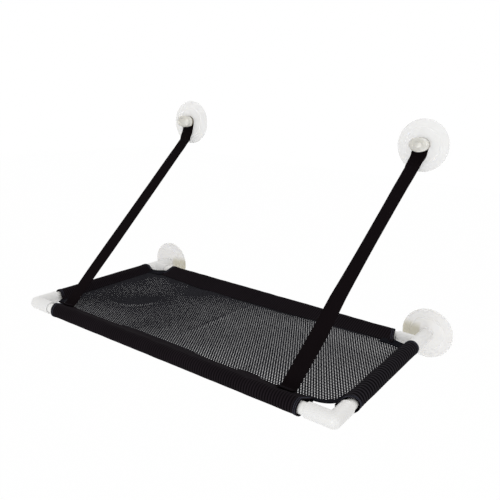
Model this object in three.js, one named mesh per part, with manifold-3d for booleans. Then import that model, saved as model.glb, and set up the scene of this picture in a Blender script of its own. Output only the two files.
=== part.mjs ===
// Cat window perch: a plastic tube frame carries a stretched mesh bed, plugs into two suction cups
// below and hangs from two suction cups above on webbing straps.
// Sizes are in millimetres. +X runs to the right along the glass, +Y towards the glass, +Z up.
// The glass is the plane y = 0, and z = 0 is the plane of the frame's tube axes.

import * as THREE from 'three';
import { mergeVertices } from 'three/addons/utils/BufferGeometryUtils.js';
import Module from 'manifold-3d';

const wasm = await Module();
wasm.setup();

// Frame
const sideRailSpacing = 540;
const railDepth = 273;
const rearRailToGlass = 47.3;
const tubeDiameter = 16;
const tubeWall = 1.5;

// Fittings
const fittingDiameter = 20;
const elbowReach = 35;
const teeBranchReach = 30;
const teeRunReach = 37.8;
const fittingStop = 13;
const passageDiameter = 12.4;
const mouthChamfer = 0.8;

// Suction cups
const cupDiameter = 80;
const sealWidth = 8;
const lipThickness = 1;
const hollowDepth = 2.2;
const shoulderDiameter = 51;
const shoulderHeight = 4.4;
const shoulderStep = 0.9;
const shoulderStepWidth = 1.6;
const upperCupHeight = 286.8;
const upperCupSpacing = 449;
const upperDomeHeight = 6;
const neckDiameter = 11;
const headDiameter = 26;
const headLength = 14.4;
const headEdgeRadius = 3.2;
const headDimpleDiameter = 15;
const headDimpleDepth = 1.2;
const lowerBossDiameter = 22;
const stemNoseChamfer = 1.5;

// Fabric sleeves. Each slides over the fittings and runs to a flat flap whose edge is the seam.
const sleeveEase = 0.4;
const sleeveWall = 0.6;
const frontFlapWidth = 18.3;
const rearFlapWidth = 21.7;
const sideFlapWidth = 4;
const seamDrop = 2;
const seamSlotDepth = 2.5;
const seamStitchWidth = 1.2;
const seamFold = 0.5;
const hemWidth = 5;
const hemThickness = 0.4;

// Sleeve ends, each set back from the axis of the rail that it meets, at its outer side and seam
const frontSleeveEnds = { left: { outer: 45, seam: 30 }, right: { outer: 41, seam: 43 } };
const rearSleeveEnd = { outer: 39, seam: 34 };
const sideSleeveFrontEnd = { outer: 39, seam: 54 };
const sideSleeveRearEnd = { outer: 27, seam: 20 };

// Mesh bed: a grid of openings stands for its fine mesh. The places of its two soft folds are
// measured from its middle.
const meshThickness = 0.8;
const openingsAcross = 12;
const openingsDeep = 5;
const meshBorder = 10;
const meshWeb = 11;
const meshSag = 8;
const foldHeight = 2.4;
const foldWidth = 26;
const arcFold = { x: -118, y: -2.5, radius: 62 };
const slantFold = { x: -20, y: 7.5, length: 120 };
const slantFoldTurn = THREE.MathUtils.degToRad(52);

// Bound corners of the bed
const frontLeftCornerRadius = 16;
const frontRightCornerRadius = 30;
const bindingWidth = 4.5;
const bindingWall = 0.8;
const gussetLap = 4;
const gussetReach = { inner: 13, outer: 19 };

// Webbing straps. A foot is set back from the side rail's axis, and a fold from the middle of its
// cup, both towards the middle of the frame.
const webbingWidth = 22;
const webbingThickness = 1.6;
const footLength = 15;
const footSetback = 1;
const leftStrap = { footInset: 47, foldInset: 1 };
const rightStrap = { footInset: 76, foldInset: 6 };
const foldToGlass = 18.5;
const foldDrop = 32.8;
const tabCurveShares = { along: 0.67, level: 0.5 };
const endRoundShare = 0.9;

// Clearances and cut allowances
const gap = 0.3;
const cutOverrun = 2;
const weldDistance = 0.0001;

// Facet counts
const tubeSides = 32;
const cupSides = 36;
const arcSteps = 20;
const smallArcSteps = 4;
const roundSteps = 3;
const sideBorderSteps = 3;
const endBorderSteps = 1;
const openingSteps = 2;
const strapSteps = 6;
const tabSteps = 8;

// Derived places
const sideX = sideRailSpacing / 2;
const rearY = -rearRailToGlass;
const frontY = rearY - railDepth;
const middleY = (frontY + rearY) / 2;
const upperCupX = upperCupSpacing / 2;
const tubeRadius = tubeDiameter / 2;
const fittingRadius = fittingDiameter / 2;
const socketRadius = tubeRadius + gap;
const sleeveRadius = fittingRadius + sleeveEase + sleeveWall;
const frontSeamReach = sleeveRadius + frontFlapWidth;
const rearSeamReach = sleeveRadius + rearFlapWidth;
const sideSeamReach = sleeveRadius + sideFlapWidth;
const tubeSetback = fittingStop + gap;
const tabThickness = webbingThickness * 2;
const neckLength = tabThickness + gap * 2;
const seamSlotHeight = meshThickness + gap * 2;
const seamTipRadius = seamSlotHeight / 2 + sleeveWall;
const meshTuck = seamSlotDepth - gap;

// Finishes
const finishes = {
  tube: { color: 0xf4f4f2, roughness: 0.3 },
  fitting: { color: 0xeeeeec, roughness: 0.28 },
  clearCup: { color: 0xe9ebea, roughness: 0.12, transparent: true, opacity: 0.55 },
  milkyCup: { color: 0xecebe7, roughness: 0.3 },
  sleeve: { color: 0x141318, roughness: 0.85 },
  mesh: { color: 0x1b1b20, roughness: 0.8 },
  binding: { color: 0x101014, roughness: 0.8 },
  webbing: { color: 0x121013, roughness: 0.85 },
};

const perch = new THREE.Group();

function addPiece(name, geometry, finish) {
  const material = new THREE.MeshStandardMaterial({ metalness: 0, ...finishes[finish] });
  const mesh = new THREE.Mesh(geometry, material);
  mesh.name = name;
  perch.add(mesh);
  return mesh;
}

// Turn a closed geometry into a solid that can be joined and cut.
function solidFrom(geometry) {
  const bare = geometry.clone();
  bare.deleteAttribute('normal');
  bare.deleteAttribute('uv');
  const welded = mergeVertices(bare, weldDistance);
  const vertProperties = new Float32Array(welded.attributes.position.array);
  const triVerts = new Uint32Array(welded.index.array);
  return new wasm.Manifold(new wasm.Mesh({ numProp: 3, vertProperties, triVerts }));
}

function geometryFrom(solid) {
  const mesh = solid.getMesh();
  const geometry = new THREE.BufferGeometry();
  geometry.setAttribute('position', new THREE.BufferAttribute(mesh.vertProperties, 3));
  geometry.setIndex(new THREE.BufferAttribute(mesh.triVerts, 1));
  geometry.computeVertexNormals();
  return geometry;
}

function joinAll(solids) {
  return solids.reduce((joined, solid) => joined.add(solid));
}

// Revolve a profile of [radius, station] pairs about the Y axis.
function revolve(profile, sides) {
  const points = profile.map(([radius, station]) => new THREE.Vector2(radius, station));
  return new THREE.LatheGeometry(points, sides);
}

// Points of an arc from one angle to another, both ends included.
function arcPoints(centre, radius, start, end, steps) {
  const points = [];
  for (let i = 0; i <= steps; i += 1) {
    const angle = THREE.MathUtils.lerp(start, end, i / steps);
    points.push(new THREE.Vector2(
      centre.x + radius * Math.cos(angle),
      centre.y + radius * Math.sin(angle),
    ));
  }
  return points;
}

// An upright prism over a plan outline, between two heights.
function planPrism(outline, bottom, top) {
  const geometry = new THREE.ExtrudeGeometry(new THREE.Shape(outline), {
    depth: top - bottom,
    bevelEnabled: false,
  });
  geometry.translate(0, 0, bottom);
  return geometry;
}

// Tubes of the frame
function tubeGeometry(length) {
  const bore = tubeRadius - tubeWall;
  const half = length / 2;
  return revolve([
    [bore, -half],
    [tubeRadius, -half],
    [tubeRadius, half],
    [bore, half],
    [bore, -half],
  ], tubeSides);
}

function addTubes() {
  const crossLength = 2 * (sideX - tubeSetback);
  const sideLength = railDepth - 2 * tubeSetback;
  for (const [name, y] of [['front_tube', frontY], ['rear_tube', rearY]]) {
    const tube = addPiece(name, tubeGeometry(crossLength), 'tube');
    tube.rotation.z = Math.PI / 2;
    tube.position.y = y;
  }
  for (const [name, x] of [['left_side_tube', -sideX], ['right_side_tube', sideX]]) {
    const tube = addPiece(name, tubeGeometry(sideLength), 'tube');
    tube.position.set(x, middleY, 0);
  }
}

// One arm of a fitting, from its centre out to the chamfered mouth, pointing along +Y.
function fittingArm(reach) {
  return revolve([
    [0, 0],
    [fittingRadius, 0],
    [fittingRadius, reach - mouthChamfer],
    [fittingRadius - mouthChamfer, reach],
    [0, reach],
  ], tubeSides);
}

// The space inside an arm: a passage up to the stop, then the socket with a lead-in.
function fittingBore(reach) {
  const passageRadius = passageDiameter / 2;
  return revolve([
    [0, 0],
    [passageRadius, 0],
    [passageRadius, fittingStop],
    [socketRadius, fittingStop],
    [socketRadius, reach - mouthChamfer],
    [socketRadius + mouthChamfer / 2, reach],
    [socketRadius + mouthChamfer / 2, reach + cutOverrun],
    [0, reach + cutOverrun],
  ], tubeSides);
}

// Turn an arm about Z from +Y to the wanted direction.
function turned(geometry, angle) {
  geometry.rotateZ(angle);
  return solidFrom(geometry);
}

// Two-way elbow with a rounded corner and arms along +X and +Y.
function elbowGeometry() {
  const ball = solidFrom(new THREE.SphereGeometry(fittingRadius, tubeSides, tubeSides / 2));
  const turn = -Math.PI / 2;
  const arms = [0, turn].map((angle) => turned(fittingArm(elbowReach), angle));
  const bores = [0, turn].map((angle) => turned(fittingBore(elbowReach), angle));
  return geometryFrom(joinAll([ball, ...arms]).subtract(joinAll(bores)));
}

// Tee with its run along Y and its branch along +X. The run's rear mouth takes the lower cup's stem.
function teeGeometry() {
  const run = [0, Math.PI];
  const branch = -Math.PI / 2;
  const skin = joinAll([
    ...run.map((angle) => turned(fittingArm(teeRunReach), angle)),
    turned(fittingArm(teeBranchReach), branch),
  ]);
  const bore = joinAll([
    ...run.map((angle) => turned(fittingBore(teeRunReach), angle)),
    turned(fittingBore(teeBranchReach), branch),
  ]);
  return geometryFrom(skin.subtract(bore));
}

function addFittings() {
  const frontLeft = addPiece('front_left_elbow', elbowGeometry(), 'fitting');
  frontLeft.position.set(-sideX, frontY, 0);
  const frontRight = addPiece('front_right_elbow', elbowGeometry(), 'fitting');
  frontRight.position.set(sideX, frontY, 0);
  frontRight.rotation.z = Math.PI / 2;
  const rearLeft = addPiece('rear_left_tee', teeGeometry(), 'fitting');
  rearLeft.position.set(-sideX, rearY, 0);
  const rearRight = addPiece('rear_right_tee', teeGeometry(), 'fitting');
  rearRight.position.set(sideX, rearY, 0);
  rearRight.rotation.z = Math.PI;
}

// Outline around the tube that tapers to the seam: two circles joined by their outer tangents.
// The first axis points from the tube towards the bed, the second one up.
function teardropOutline(radius, tip, tipRadius) {
  const facing = Math.atan2(tip.y, tip.x);
  const spread = Math.acos((radius - tipRadius) / tip.length());
  const farSide = facing - spread + 2 * Math.PI;
  const around = arcPoints(new THREE.Vector2(), radius, facing + spread, farSide, arcSteps);
  const fold = arcPoints(tip, tipRadius, facing - spread, facing + spread, smallArcSteps);
  return [...around, ...fold];
}

// Where the flat top of a sleeve's flap starts, and how it runs up to the tube.
function flapTop(seamReach) {
  const tip = new THREE.Vector2(seamReach - seamTipRadius, -seamDrop);
  const spread = Math.acos((sleeveRadius - seamTipRadius) / tip.length());
  const angle = Math.atan2(tip.y, tip.x) + spread;
  const normal = new THREE.Vector2(Math.cos(angle), Math.sin(angle));
  const start = tip.clone().addScaledVector(normal, seamTipRadius);
  const rise = normal.clone().multiplyScalar(sleeveRadius).sub(start).normalize();
  return { start, normal, rise };
}

// Extrude an outline of the sleeve's section along +Z and lay it so that the section's first axis
// is +Y, its second +Z and the extrusion +X. The piece covers the given span.
function extrudeAlong(outline, from, to) {
  const geometry = new THREE.ExtrudeGeometry(new THREE.Shape(outline), {
    depth: to - from,
    bevelEnabled: false,
  });
  const lay = new THREE.Matrix4().makeBasis(
    new THREE.Vector3(0, 1, 0),
    new THREE.Vector3(0, 0, 1),
    new THREE.Vector3(1, 0, 0),
  );
  geometry.applyMatrix4(lay);
  geometry.translate(from, 0, 0);
  return geometry;
}

// Plan outline between two slanted end lines. Each end gives its station at the sleeve's outer
// side and at the seam.
function planSpan(low, high, outerSide, seamSide, seamReach) {
  const stationAt = (end, y) => {
    const share = (y + sleeveRadius) / (seamReach + sleeveRadius);
    return THREE.MathUtils.lerp(end.outer, end.seam, share);
  };
  return [
    new THREE.Vector2(stationAt(low, outerSide), outerSide),
    new THREE.Vector2(stationAt(high, outerSide), outerSide),
    new THREE.Vector2(stationAt(high, seamSide), seamSide),
    new THREE.Vector2(stationAt(low, seamSide), seamSide),
  ];
}

function shifted(end, distance) {
  return { outer: end.outer + distance, seam: end.seam + distance };
}

// A sleeve of sewn cloth: a shell round the tube, drawn to a flap that takes the bed's edge in its
// seam, with a folded hem round each end. The tube's axis is the X axis, the bed lies towards +Y.
function sleeveGeometry(seamReach, low, high) {
  const from = Math.min(low.outer, low.seam) - cutOverrun;
  const to = Math.max(high.outer, high.seam) + cutOverrun;
  const reach = sleeveRadius + hemThickness + cutOverrun;
  const slab = (start, end, side) => solidFrom(
    planPrism(planSpan(start, end, -reach, side, seamReach), -reach, reach),
  );
  const tip = new THREE.Vector2(seamReach - seamTipRadius, -seamDrop);
  const skin = solidFrom(extrudeAlong(teardropOutline(sleeveRadius, tip, seamTipRadius), from, to));
  const hemSkin = solidFrom(extrudeAlong(
    teardropOutline(sleeveRadius + hemThickness, tip, seamTipRadius),
    from,
    to,
  ));
  const body = skin.intersect(slab(low, high, seamReach + cutOverrun));
  const lowHem = hemSkin.intersect(slab(low, shifted(low, hemWidth), sleeveRadius));
  const highHem = hemSkin.intersect(slab(shifted(high, -hemWidth), high, sleeveRadius));

  const innerRadius = sleeveRadius - sleeveWall;
  const innerTip = new THREE.Vector2(seamReach - seamSlotDepth - seamStitchWidth - seamFold, -seamDrop);
  const pocket = solidFrom(extrudeAlong(teardropOutline(innerRadius, innerTip, seamFold), from, to));
  const slotOutline = [
    new THREE.Vector2(seamReach - seamSlotDepth, -seamDrop - seamSlotHeight / 2),
    new THREE.Vector2(seamReach + cutOverrun, -seamDrop - seamSlotHeight / 2),
    new THREE.Vector2(seamReach + cutOverrun, -seamDrop + seamSlotHeight / 2),
    new THREE.Vector2(seamReach - seamSlotDepth, -seamDrop + seamSlotHeight / 2),
  ];
  const slot = solidFrom(extrudeAlong(slotOutline, from, to));
  return geometryFrom(joinAll([body, lowHem, highHem]).subtract(pocket).subtract(slot));
}

function negated(end) {
  return { outer: -end.outer, seam: -end.seam };
}

// The end line of a sleeve, counted from the middle of its rail instead of from the corner.
function fromMiddle(halfRail, end) {
  return { outer: halfRail - end.outer, seam: halfRail - end.seam };
}

// The four sleeves: seam reach, end lines along the local X axis, turn about Z and place.
const frontLeftEnd = fromMiddle(sideX, frontSleeveEnds.left);
const frontRightEnd = fromMiddle(sideX, frontSleeveEnds.right);
const rearEnd = fromMiddle(sideX, rearSleeveEnd);
const sideFrontEnd = fromMiddle(railDepth / 2, sideSleeveFrontEnd);
const sideRearEnd = fromMiddle(railDepth / 2, sideSleeveRearEnd);
const sleeves = {
  front: {
    seamReach: frontSeamReach,
    low: negated(frontLeftEnd),
    high: frontRightEnd,
    turn: 0,
    place: new THREE.Vector3(0, frontY, 0),
  },
  rear: {
    seamReach: rearSeamReach,
    low: negated(rearEnd),
    high: rearEnd,
    turn: Math.PI,
    place: new THREE.Vector3(0, rearY, 0),
  },
  left: {
    seamReach: sideSeamReach,
    low: negated(sideRearEnd),
    high: sideFrontEnd,
    turn: -Math.PI / 2,
    place: new THREE.Vector3(-sideX, middleY, 0),
  },
  right: {
    seamReach: sideSeamReach,
    low: negated(sideFrontEnd),
    high: sideRearEnd,
    turn: Math.PI / 2,
    place: new THREE.Vector3(sideX, middleY, 0),
  },
};

function addSleeves() {
  for (const [side, sleeve] of Object.entries(sleeves)) {
    const geometry = sleeveGeometry(sleeve.seamReach, sleeve.low, sleeve.high);
    const piece = addPiece(`${side}_sleeve`, geometry, 'sleeve');
    piece.rotation.z = sleeve.turn;
    piece.position.copy(sleeve.place);
  }
}

// The plan space that a sleeve takes up, grown by the gap, and further past its seam if wanted.
function sleeveSpace(sleeve, pastSeam) {
  const reach = sleeveRadius + hemThickness + gap;
  const { low, high, seamReach } = sleeve;
  const outline = planSpan(shifted(low, -gap), shifted(high, gap), -reach, seamReach + pastSeam, seamReach);
  const geometry = planPrism(outline, -reach, reach);
  geometry.rotateZ(sleeve.turn);
  geometry.translate(sleeve.place.x, sleeve.place.y, sleeve.place.z);
  return solidFrom(geometry);
}

// Edges of the bed, tucked into the seams' slots.
const bed = {
  left: -sideX + sideSeamReach - meshTuck,
  right: sideX - sideSeamReach + meshTuck,
  front: frontY + frontSeamReach - meshTuck,
  rear: rearY - rearSeamReach + meshTuck,
};

// Front edge of the bed at a given x, with both corners rounded.
function bedFrontAt(x) {
  const pastLeft = bed.left + frontLeftCornerRadius - x;
  const pastRight = x - (bed.right - frontRightCornerRadius);
  const past = Math.max(pastLeft, pastRight, 0);
  const radius = pastLeft > pastRight ? frontLeftCornerRadius : frontRightCornerRadius;
  return bed.front + radius - Math.sqrt(Math.max(radius * radius - past * past, 0));
}

// How far a point is from a fold line that runs round an arc on its front side, and the share of
// the fold that is left there.
function arcRidge(fromMiddleX, fromMiddleY) {
  const offX = fromMiddleX - arcFold.x;
  const offY = fromMiddleY - arcFold.y;
  const offFold = Math.hypot(offX, offY) - arcFold.radius;
  const fade = THREE.MathUtils.clamp(-offY / arcFold.radius, 0, 1);
  return fade * Math.exp(-((offFold / foldWidth) ** 2));
}

// The same for a straight fold line at a slant.
function slantRidge(fromMiddleX, fromMiddleY) {
  const offX = fromMiddleX - slantFold.x;
  const offY = fromMiddleY - slantFold.y;
  const onFold = offX * Math.cos(slantFoldTurn) + offY * Math.sin(slantFoldTurn);
  const offFold = offY * Math.cos(slantFoldTurn) - offX * Math.sin(slantFoldTurn);
  return Math.exp(-((offFold / foldWidth) ** 2) - (2 * onFold / slantFold.length) ** 2);
}

// Height of the bed's middle surface: a shallow sag and two soft folds that die out at the seams.
function bedHeight(x, y) {
  const fromMiddleX = x - (bed.left + bed.right) / 2;
  const fromMiddleY = y - (bed.front + bed.rear) / 2;
  const across = (2 * fromMiddleX) / (bed.right - bed.left);
  const along = (2 * fromMiddleY) / (bed.rear - bed.front);
  const hold = Math.max(1 - across * across, 0) * Math.max(1 - along * along, 0);
  const ridges = arcRidge(fromMiddleX, fromMiddleY) + slantRidge(fromMiddleX, fromMiddleY);
  return -seamDrop - hold * hold * (meshSag - foldHeight * ridges);
}

// Lines of the bed's grid, counted from one edge: a border that crowds towards the edge, openings
// with webs between them, and a border again. Each line says whether an opening lies past it.
function gridLines(span, openings, steps) {
  const opening = (span - 2 * meshBorder - (openings - 1) * meshWeb) / openings;
  const border = [];
  for (let i = 0; i < steps; i += 1) {
    border.push(meshBorder * (i / steps) ** 2);
  }
  const lines = border.map((place) => ({ place, open: false }));
  for (let k = 0; k < openings; k += 1) {
    const start = meshBorder + k * (opening + meshWeb);
    for (let i = 0; i < openingSteps; i += 1) {
      lines.push({ place: start + (opening * i) / openingSteps, open: true });
    }
    lines.push({ place: start + opening, open: false });
  }
  return [...lines, ...border.reverse().map((place) => ({ place: span - place, open: false }))];
}

// A sheet of even thickness over the cells of a grid, left out where both its lines are open.
function openSheet(columns, rows, surfaceAt) {
  const positions = [];
  for (const row of rows) {
    for (const column of columns) {
      const { x, y, z } = surfaceAt(column.place, row.place);
      positions.push(x, y, z - meshThickness / 2, x, y, z + meshThickness / 2);
    }
  }
  const bottomAt = ([column, row]) => (row * columns.length + column) * 2;
  const topAt = (corner) => bottomAt(corner) + 1;
  const isCloth = (column, row) => {
    const inGrid = column >= 0 && row >= 0 && column < columns.length - 1 && row < rows.length - 1;
    return inGrid && !(columns[column].open && rows[row].open);
  };
  const faces = [];
  const addQuad = (a, b, c, d) => faces.push(a, b, c, a, c, d);
  for (let row = 0; row < rows.length - 1; row += 1) {
    for (let column = 0; column < columns.length - 1; column += 1) {
      if (isCloth(column, row)) {
        const corners = [[column, row], [column + 1, row], [column + 1, row + 1], [column, row + 1]];
        const neighbours = [[column, row - 1], [column + 1, row], [column, row + 1], [column - 1, row]];
        addQuad(...corners.map(topAt));
        addQuad(...corners.map(bottomAt).reverse());
        corners.forEach((corner, side) => {
          const next = corners[(side + 1) % corners.length];
          if (!isCloth(...neighbours[side])) {
            addQuad(bottomAt(corner), bottomAt(next), topAt(next), topAt(corner));
          }
        });
      }
    }
  }
  const geometry = new THREE.BufferGeometry();
  geometry.setAttribute('position', new THREE.Float32BufferAttribute(positions, 3));
  geometry.setIndex(faces);
  return geometry;
}

function addMeshBed() {
  const depth = bed.rear - bed.front;
  const columns = gridLines(bed.right - bed.left, openingsAcross, sideBorderSteps);
  const rows = gridLines(depth, openingsDeep, endBorderSteps);
  const geometry = openSheet(columns, rows, (fromLeft, fromFront) => {
    const x = bed.left + fromLeft;
    const y = THREE.MathUtils.lerp(bedFrontAt(x), bed.rear, fromFront / depth);
    return new THREE.Vector3(x, y, bedHeight(x, y));
  });
  addPiece('mesh_panel', geometryFrom(solidFrom(geometry)), 'mesh');
}

// Outline that follows the bed's right-hand front corner at an offset: straight along the front,
// round the corner and straight along the side. The corner's centre is the origin.
function cornerLine(radius, offset, straight) {
  const reach = radius + offset;
  return [
    new THREE.Vector2(-straight, -reach),
    ...arcPoints(new THREE.Vector2(), reach, -Math.PI / 2, 0, arcSteps / 2),
    new THREE.Vector2(reach, straight),
  ];
}

// A folded tape over the bed's rounded front corner, cut back from the two sleeves beside it.
function frontBinding(radius, side) {
  const half = meshThickness / 2 + gap + bindingWall;
  const past = bindingWidth + cutOverrun;
  const centreX = bed.right - radius;
  const centreY = bed.front + radius;
  const toFrontSleeve = frontSleeveEnds[side].seam - (sideX - centreX);
  const toSideSleeve = frontY + sideSleeveFrontEnd.seam - centreY;
  const straight = Math.max(toFrontSleeve, toSideSleeve, 0) + past;
  const band = [
    ...cornerLine(radius, gap + bindingWall, straight),
    ...cornerLine(radius, -bindingWidth, straight).reverse(),
  ];
  const slot = [
    ...cornerLine(radius, gap, straight + cutOverrun),
    ...cornerLine(radius, -past, straight + cutOverrun).reverse(),
  ];
  const skin = solidFrom(planPrism(band, -half, half));
  const fold = skin.subtract(solidFrom(planPrism(slot, -half + bindingWall, half - bindingWall)));
  const placed = fold.translate([centreX, centreY, -seamDrop]);
  const tape = side === 'left' ? placed.mirror([1, 0, 0]) : placed;
  const besideFront = tape.subtract(sleeveSpace(sleeves.front, past));
  return geometryFrom(besideFront.subtract(sleeveSpace(sleeves[side], past)));
}

function addFrontBindings() {
  addPiece('front_left_binding', frontBinding(frontLeftCornerRadius, 'left'), 'binding');
  addPiece('front_right_binding', frontBinding(frontRightCornerRadius, 'right'), 'binding');
}

// A doubled patch that closes the bed's rear corner between the two sleeve ends. It is drawn for
// the right-hand corner and folds over the bed's edge like the front tapes.
function gussetSolid() {
  const half = meshThickness / 2 + gap + bindingWall;
  const inner = rearEnd.seam + gap;
  const outer = sideX - sideSeamReach - gap;
  const seam = rearY - rearSeamReach - gussetLap;
  const patch = [
    new THREE.Vector2(inner, seam),
    new THREE.Vector2(outer, seam),
    new THREE.Vector2(outer, rearY - gussetReach.outer),
    new THREE.Vector2(inner, rearY - gussetReach.inner),
  ];
  const slot = [
    new THREE.Vector2(inner - cutOverrun, seam - cutOverrun),
    new THREE.Vector2(outer + cutOverrun, seam - cutOverrun),
    new THREE.Vector2(outer + cutOverrun, bed.rear + gap),
    new THREE.Vector2(inner - cutOverrun, bed.rear + gap),
  ];
  const skin = solidFrom(planPrism(patch, -half, half));
  return skin.subtract(solidFrom(planPrism(slot, -half + bindingWall, half - bindingWall)));
}

function addRearBindings() {
  const right = gussetSolid();
  addPiece('rear_right_binding', geometryFrom(right), 'binding').position.z = -seamDrop;
  addPiece('rear_left_binding', geometryFrom(right.mirror([1, 0, 0])), 'binding').position.z = -seamDrop;
}

// Where a strap's foot and its sewn bend lie on the front sleeve's flap, in the Y and Z of the frame.
const flap = flapTop(frontSeamReach);
const footLift = gap + webbingThickness / 2;
const sewnBendLift = footLift + webbingThickness + gap;

function onFlap(distance, lift) {
  const point = flap.start.clone().addScaledVector(flap.rise, distance).addScaledVector(flap.normal, lift);
  return point.add(new THREE.Vector2(frontY, 0));
}

// Sections of a webbing, each with its distance along the path and its share of the thickness.
// A rounded end adds sections past the end that shrink along a half circle. They stop just short
// of a sharp edge, so that no face has zero width.
function webbingSections(total, thickness, steps, rounded) {
  const plain = [];
  for (let i = 0; i <= steps; i += 1) {
    plain.push({ distance: (total * i) / steps, thicknessShare: 1 });
  }
  const cap = [];
  for (let i = 1; rounded && i <= roundSteps; i += 1) {
    const angle = ((Math.PI / 2) * endRoundShare * i) / roundSteps;
    cap.push({ past: (thickness / 2) * Math.sin(angle), thicknessShare: Math.cos(angle) });
  }
  return [
    ...cap.map(({ past, thicknessShare }) => ({ distance: -past, thicknessShare })).reverse(),
    ...plain,
    ...cap.map(({ past, thicknessShare }) => ({ distance: total + past, thicknessShare })),
  ];
}

// Flat webbing that follows a path, with its width along X.
function webbingGeometry(path, thickness, steps, rounded) {
  const total = path.getLength();
  const sections = webbingSections(total, thickness, steps, rounded);
  const geometry = new THREE.BoxGeometry(1, 1, 1, 1, 1, sections.length - 1);
  const position = geometry.attributes.position;
  for (let i = 0; i < position.count; i += 1) {
    const row = Math.round((position.getZ(i) + 1 / 2) * (sections.length - 1));
    const { distance, thicknessShare } = sections[row];
    const share = THREE.MathUtils.clamp(distance / total, 0, 1);
    const tangent = path.getTangentAt(share);
    const normal = new THREE.Vector3(0, tangent.z, -tangent.y).normalize();
    const point = path.getPointAt(share)
      .addScaledVector(tangent, distance - share * total)
      .addScaledVector(normal, position.getY(i) * thickness * thicknessShare);
    position.setXYZ(i, point.x + position.getX(i) * webbingWidth, point.y, point.z);
  }
  return geometry;
}

// A strap on the side of the frame that the sign gives: -1 on the left and 1 on the right.
function addStrap(side, sign, strap) {
  const cupX = sign * upperCupX;
  const footX = sign * (sideX - strap.footInset);
  const foldX = cupX - sign * strap.foldInset;
  const footCentre = onFlap(footSetback + footLength / 2, footLift);
  const foot = new THREE.BoxGeometry(webbingWidth, footLength, webbingThickness);
  const footPiece = addPiece(`${side}_strap_foot`, foot, 'webbing');
  footPiece.position.set(footX, footCentre.x, footCentre.y);
  footPiece.rotation.x = Math.atan2(-flap.rise.y, -flap.rise.x);

  const sewnBend = onFlap(footSetback + webbingThickness / 2, sewnBendLift);
  const fold = new THREE.Vector3(foldX, -foldToGlass, upperCupHeight - foldDrop);
  const run = new THREE.LineCurve3(new THREE.Vector3(footX, sewnBend.x, sewnBend.y), fold);
  addPiece(`${side}_strap`, webbingGeometry(run, webbingThickness, strapSteps, true), 'webbing');
  addPiece(`${side}_strap_tab`, tabGeometry(fold, cupX), 'webbing');
}

// The doubled end of a strap: it leaves the fold, curves up parallel to the glass behind the cup's
// head, and ends in a round that has the buttonhole for the neck.
function tabGeometry(fold, cupX) {
  const tabY = -upperDomeHeight - neckLength / 2;
  const levelZ = upperCupHeight - headDiameter / 2 - gap;
  const level = new THREE.Vector3(cupX, tabY, levelZ);
  const leave = level.clone().sub(fold).normalize();
  const start = fold.clone().addScaledVector(leave, webbingThickness / 2 + gap);
  const control = new THREE.Vector3().lerpVectors(start, level, tabCurveShares.along);
  control.y = THREE.MathUtils.lerp(control.y, tabY, tabCurveShares.level);
  const path = new THREE.QuadraticBezierCurve3(start, control, level);
  const slope = solidFrom(webbingGeometry(path, tabThickness, tabSteps, false));

  const halfWidth = webbingWidth / 2;
  const outline = [
    new THREE.Vector2(cupX - halfWidth, levelZ),
    new THREE.Vector2(cupX + halfWidth, levelZ),
    ...arcPoints(new THREE.Vector2(cupX, upperCupHeight), halfWidth, 0, Math.PI, arcSteps),
  ];
  const plate = new THREE.ExtrudeGeometry(new THREE.Shape(outline), {
    depth: tabThickness,
    bevelEnabled: false,
  });
  plate.rotateX(Math.PI / 2);
  plate.translate(0, tabY + tabThickness / 2, 0);
  const hole = new THREE.CylinderGeometry(
    neckDiameter / 2 + gap,
    neckDiameter / 2 + gap,
    tabThickness + cutOverrun,
    tubeSides,
  );
  hole.translate(cupX, tabY, upperCupHeight);
  return geometryFrom(slope.add(solidFrom(plate)).subtract(solidFrom(hole)));
}

// Shared face of every cup, from the edge of its boss out over the dome, the shoulder and the skirt
// to the lip, and back under the hollow to the axis. The station is negative away from the glass.
function cupFaceProfile(bossRadius, bossHeight) {
  const rim = cupDiameter / 2;
  const shoulder = shoulderDiameter / 2;
  const sealInner = rim - sealWidth;
  const dome = new THREE.QuadraticBezierCurve(
    new THREE.Vector2(bossRadius, -bossHeight),
    new THREE.Vector2((bossRadius + shoulder) / 2, -bossHeight),
    new THREE.Vector2(shoulder, -shoulderHeight),
  ).getPoints(smallArcSteps);
  const skirtTop = shoulder + shoulderStepWidth;
  return [
    ...dome.map((point) => [point.x, point.y]),
    [skirtTop, -shoulderHeight + shoulderStep],
    [(skirtTop + rim) / 2, -(shoulderHeight - shoulderStep + lipThickness) / 2],
    [rim - lipThickness / 2, -lipThickness],
    [rim, -lipThickness / 2],
    [rim, 0],
    [sealInner, 0],
    [sealInner / 2, -hollowDepth],
    [0, -hollowDepth],
  ];
}

// Upper cup: the head in front, the neck that the strap's buttonhole holds, then the cup's face.
function upperCupGeometry() {
  const neckRadius = neckDiameter / 2;
  const headRadius = headDiameter / 2;
  const headBack = -upperDomeHeight - neckLength;
  const headFront = headBack - headLength;
  const edge = arcPoints(
    new THREE.Vector2(headRadius - headEdgeRadius, headFront + headEdgeRadius),
    headEdgeRadius,
    -Math.PI / 2,
    0,
    roundSteps,
  );
  return revolve([
    [0, headFront + headDimpleDepth],
    [headDimpleDiameter / 2 - headDimpleDepth, headFront + headDimpleDepth],
    [headDimpleDiameter / 2, headFront],
    ...edge.map((point) => [point.x, point.y]),
    [headRadius, headBack - headEdgeRadius / 2],
    [headRadius - headEdgeRadius / 2, headBack],
    [neckRadius, headBack],
    ...cupFaceProfile(neckRadius, upperDomeHeight),
  ], cupSides);
}

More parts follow.
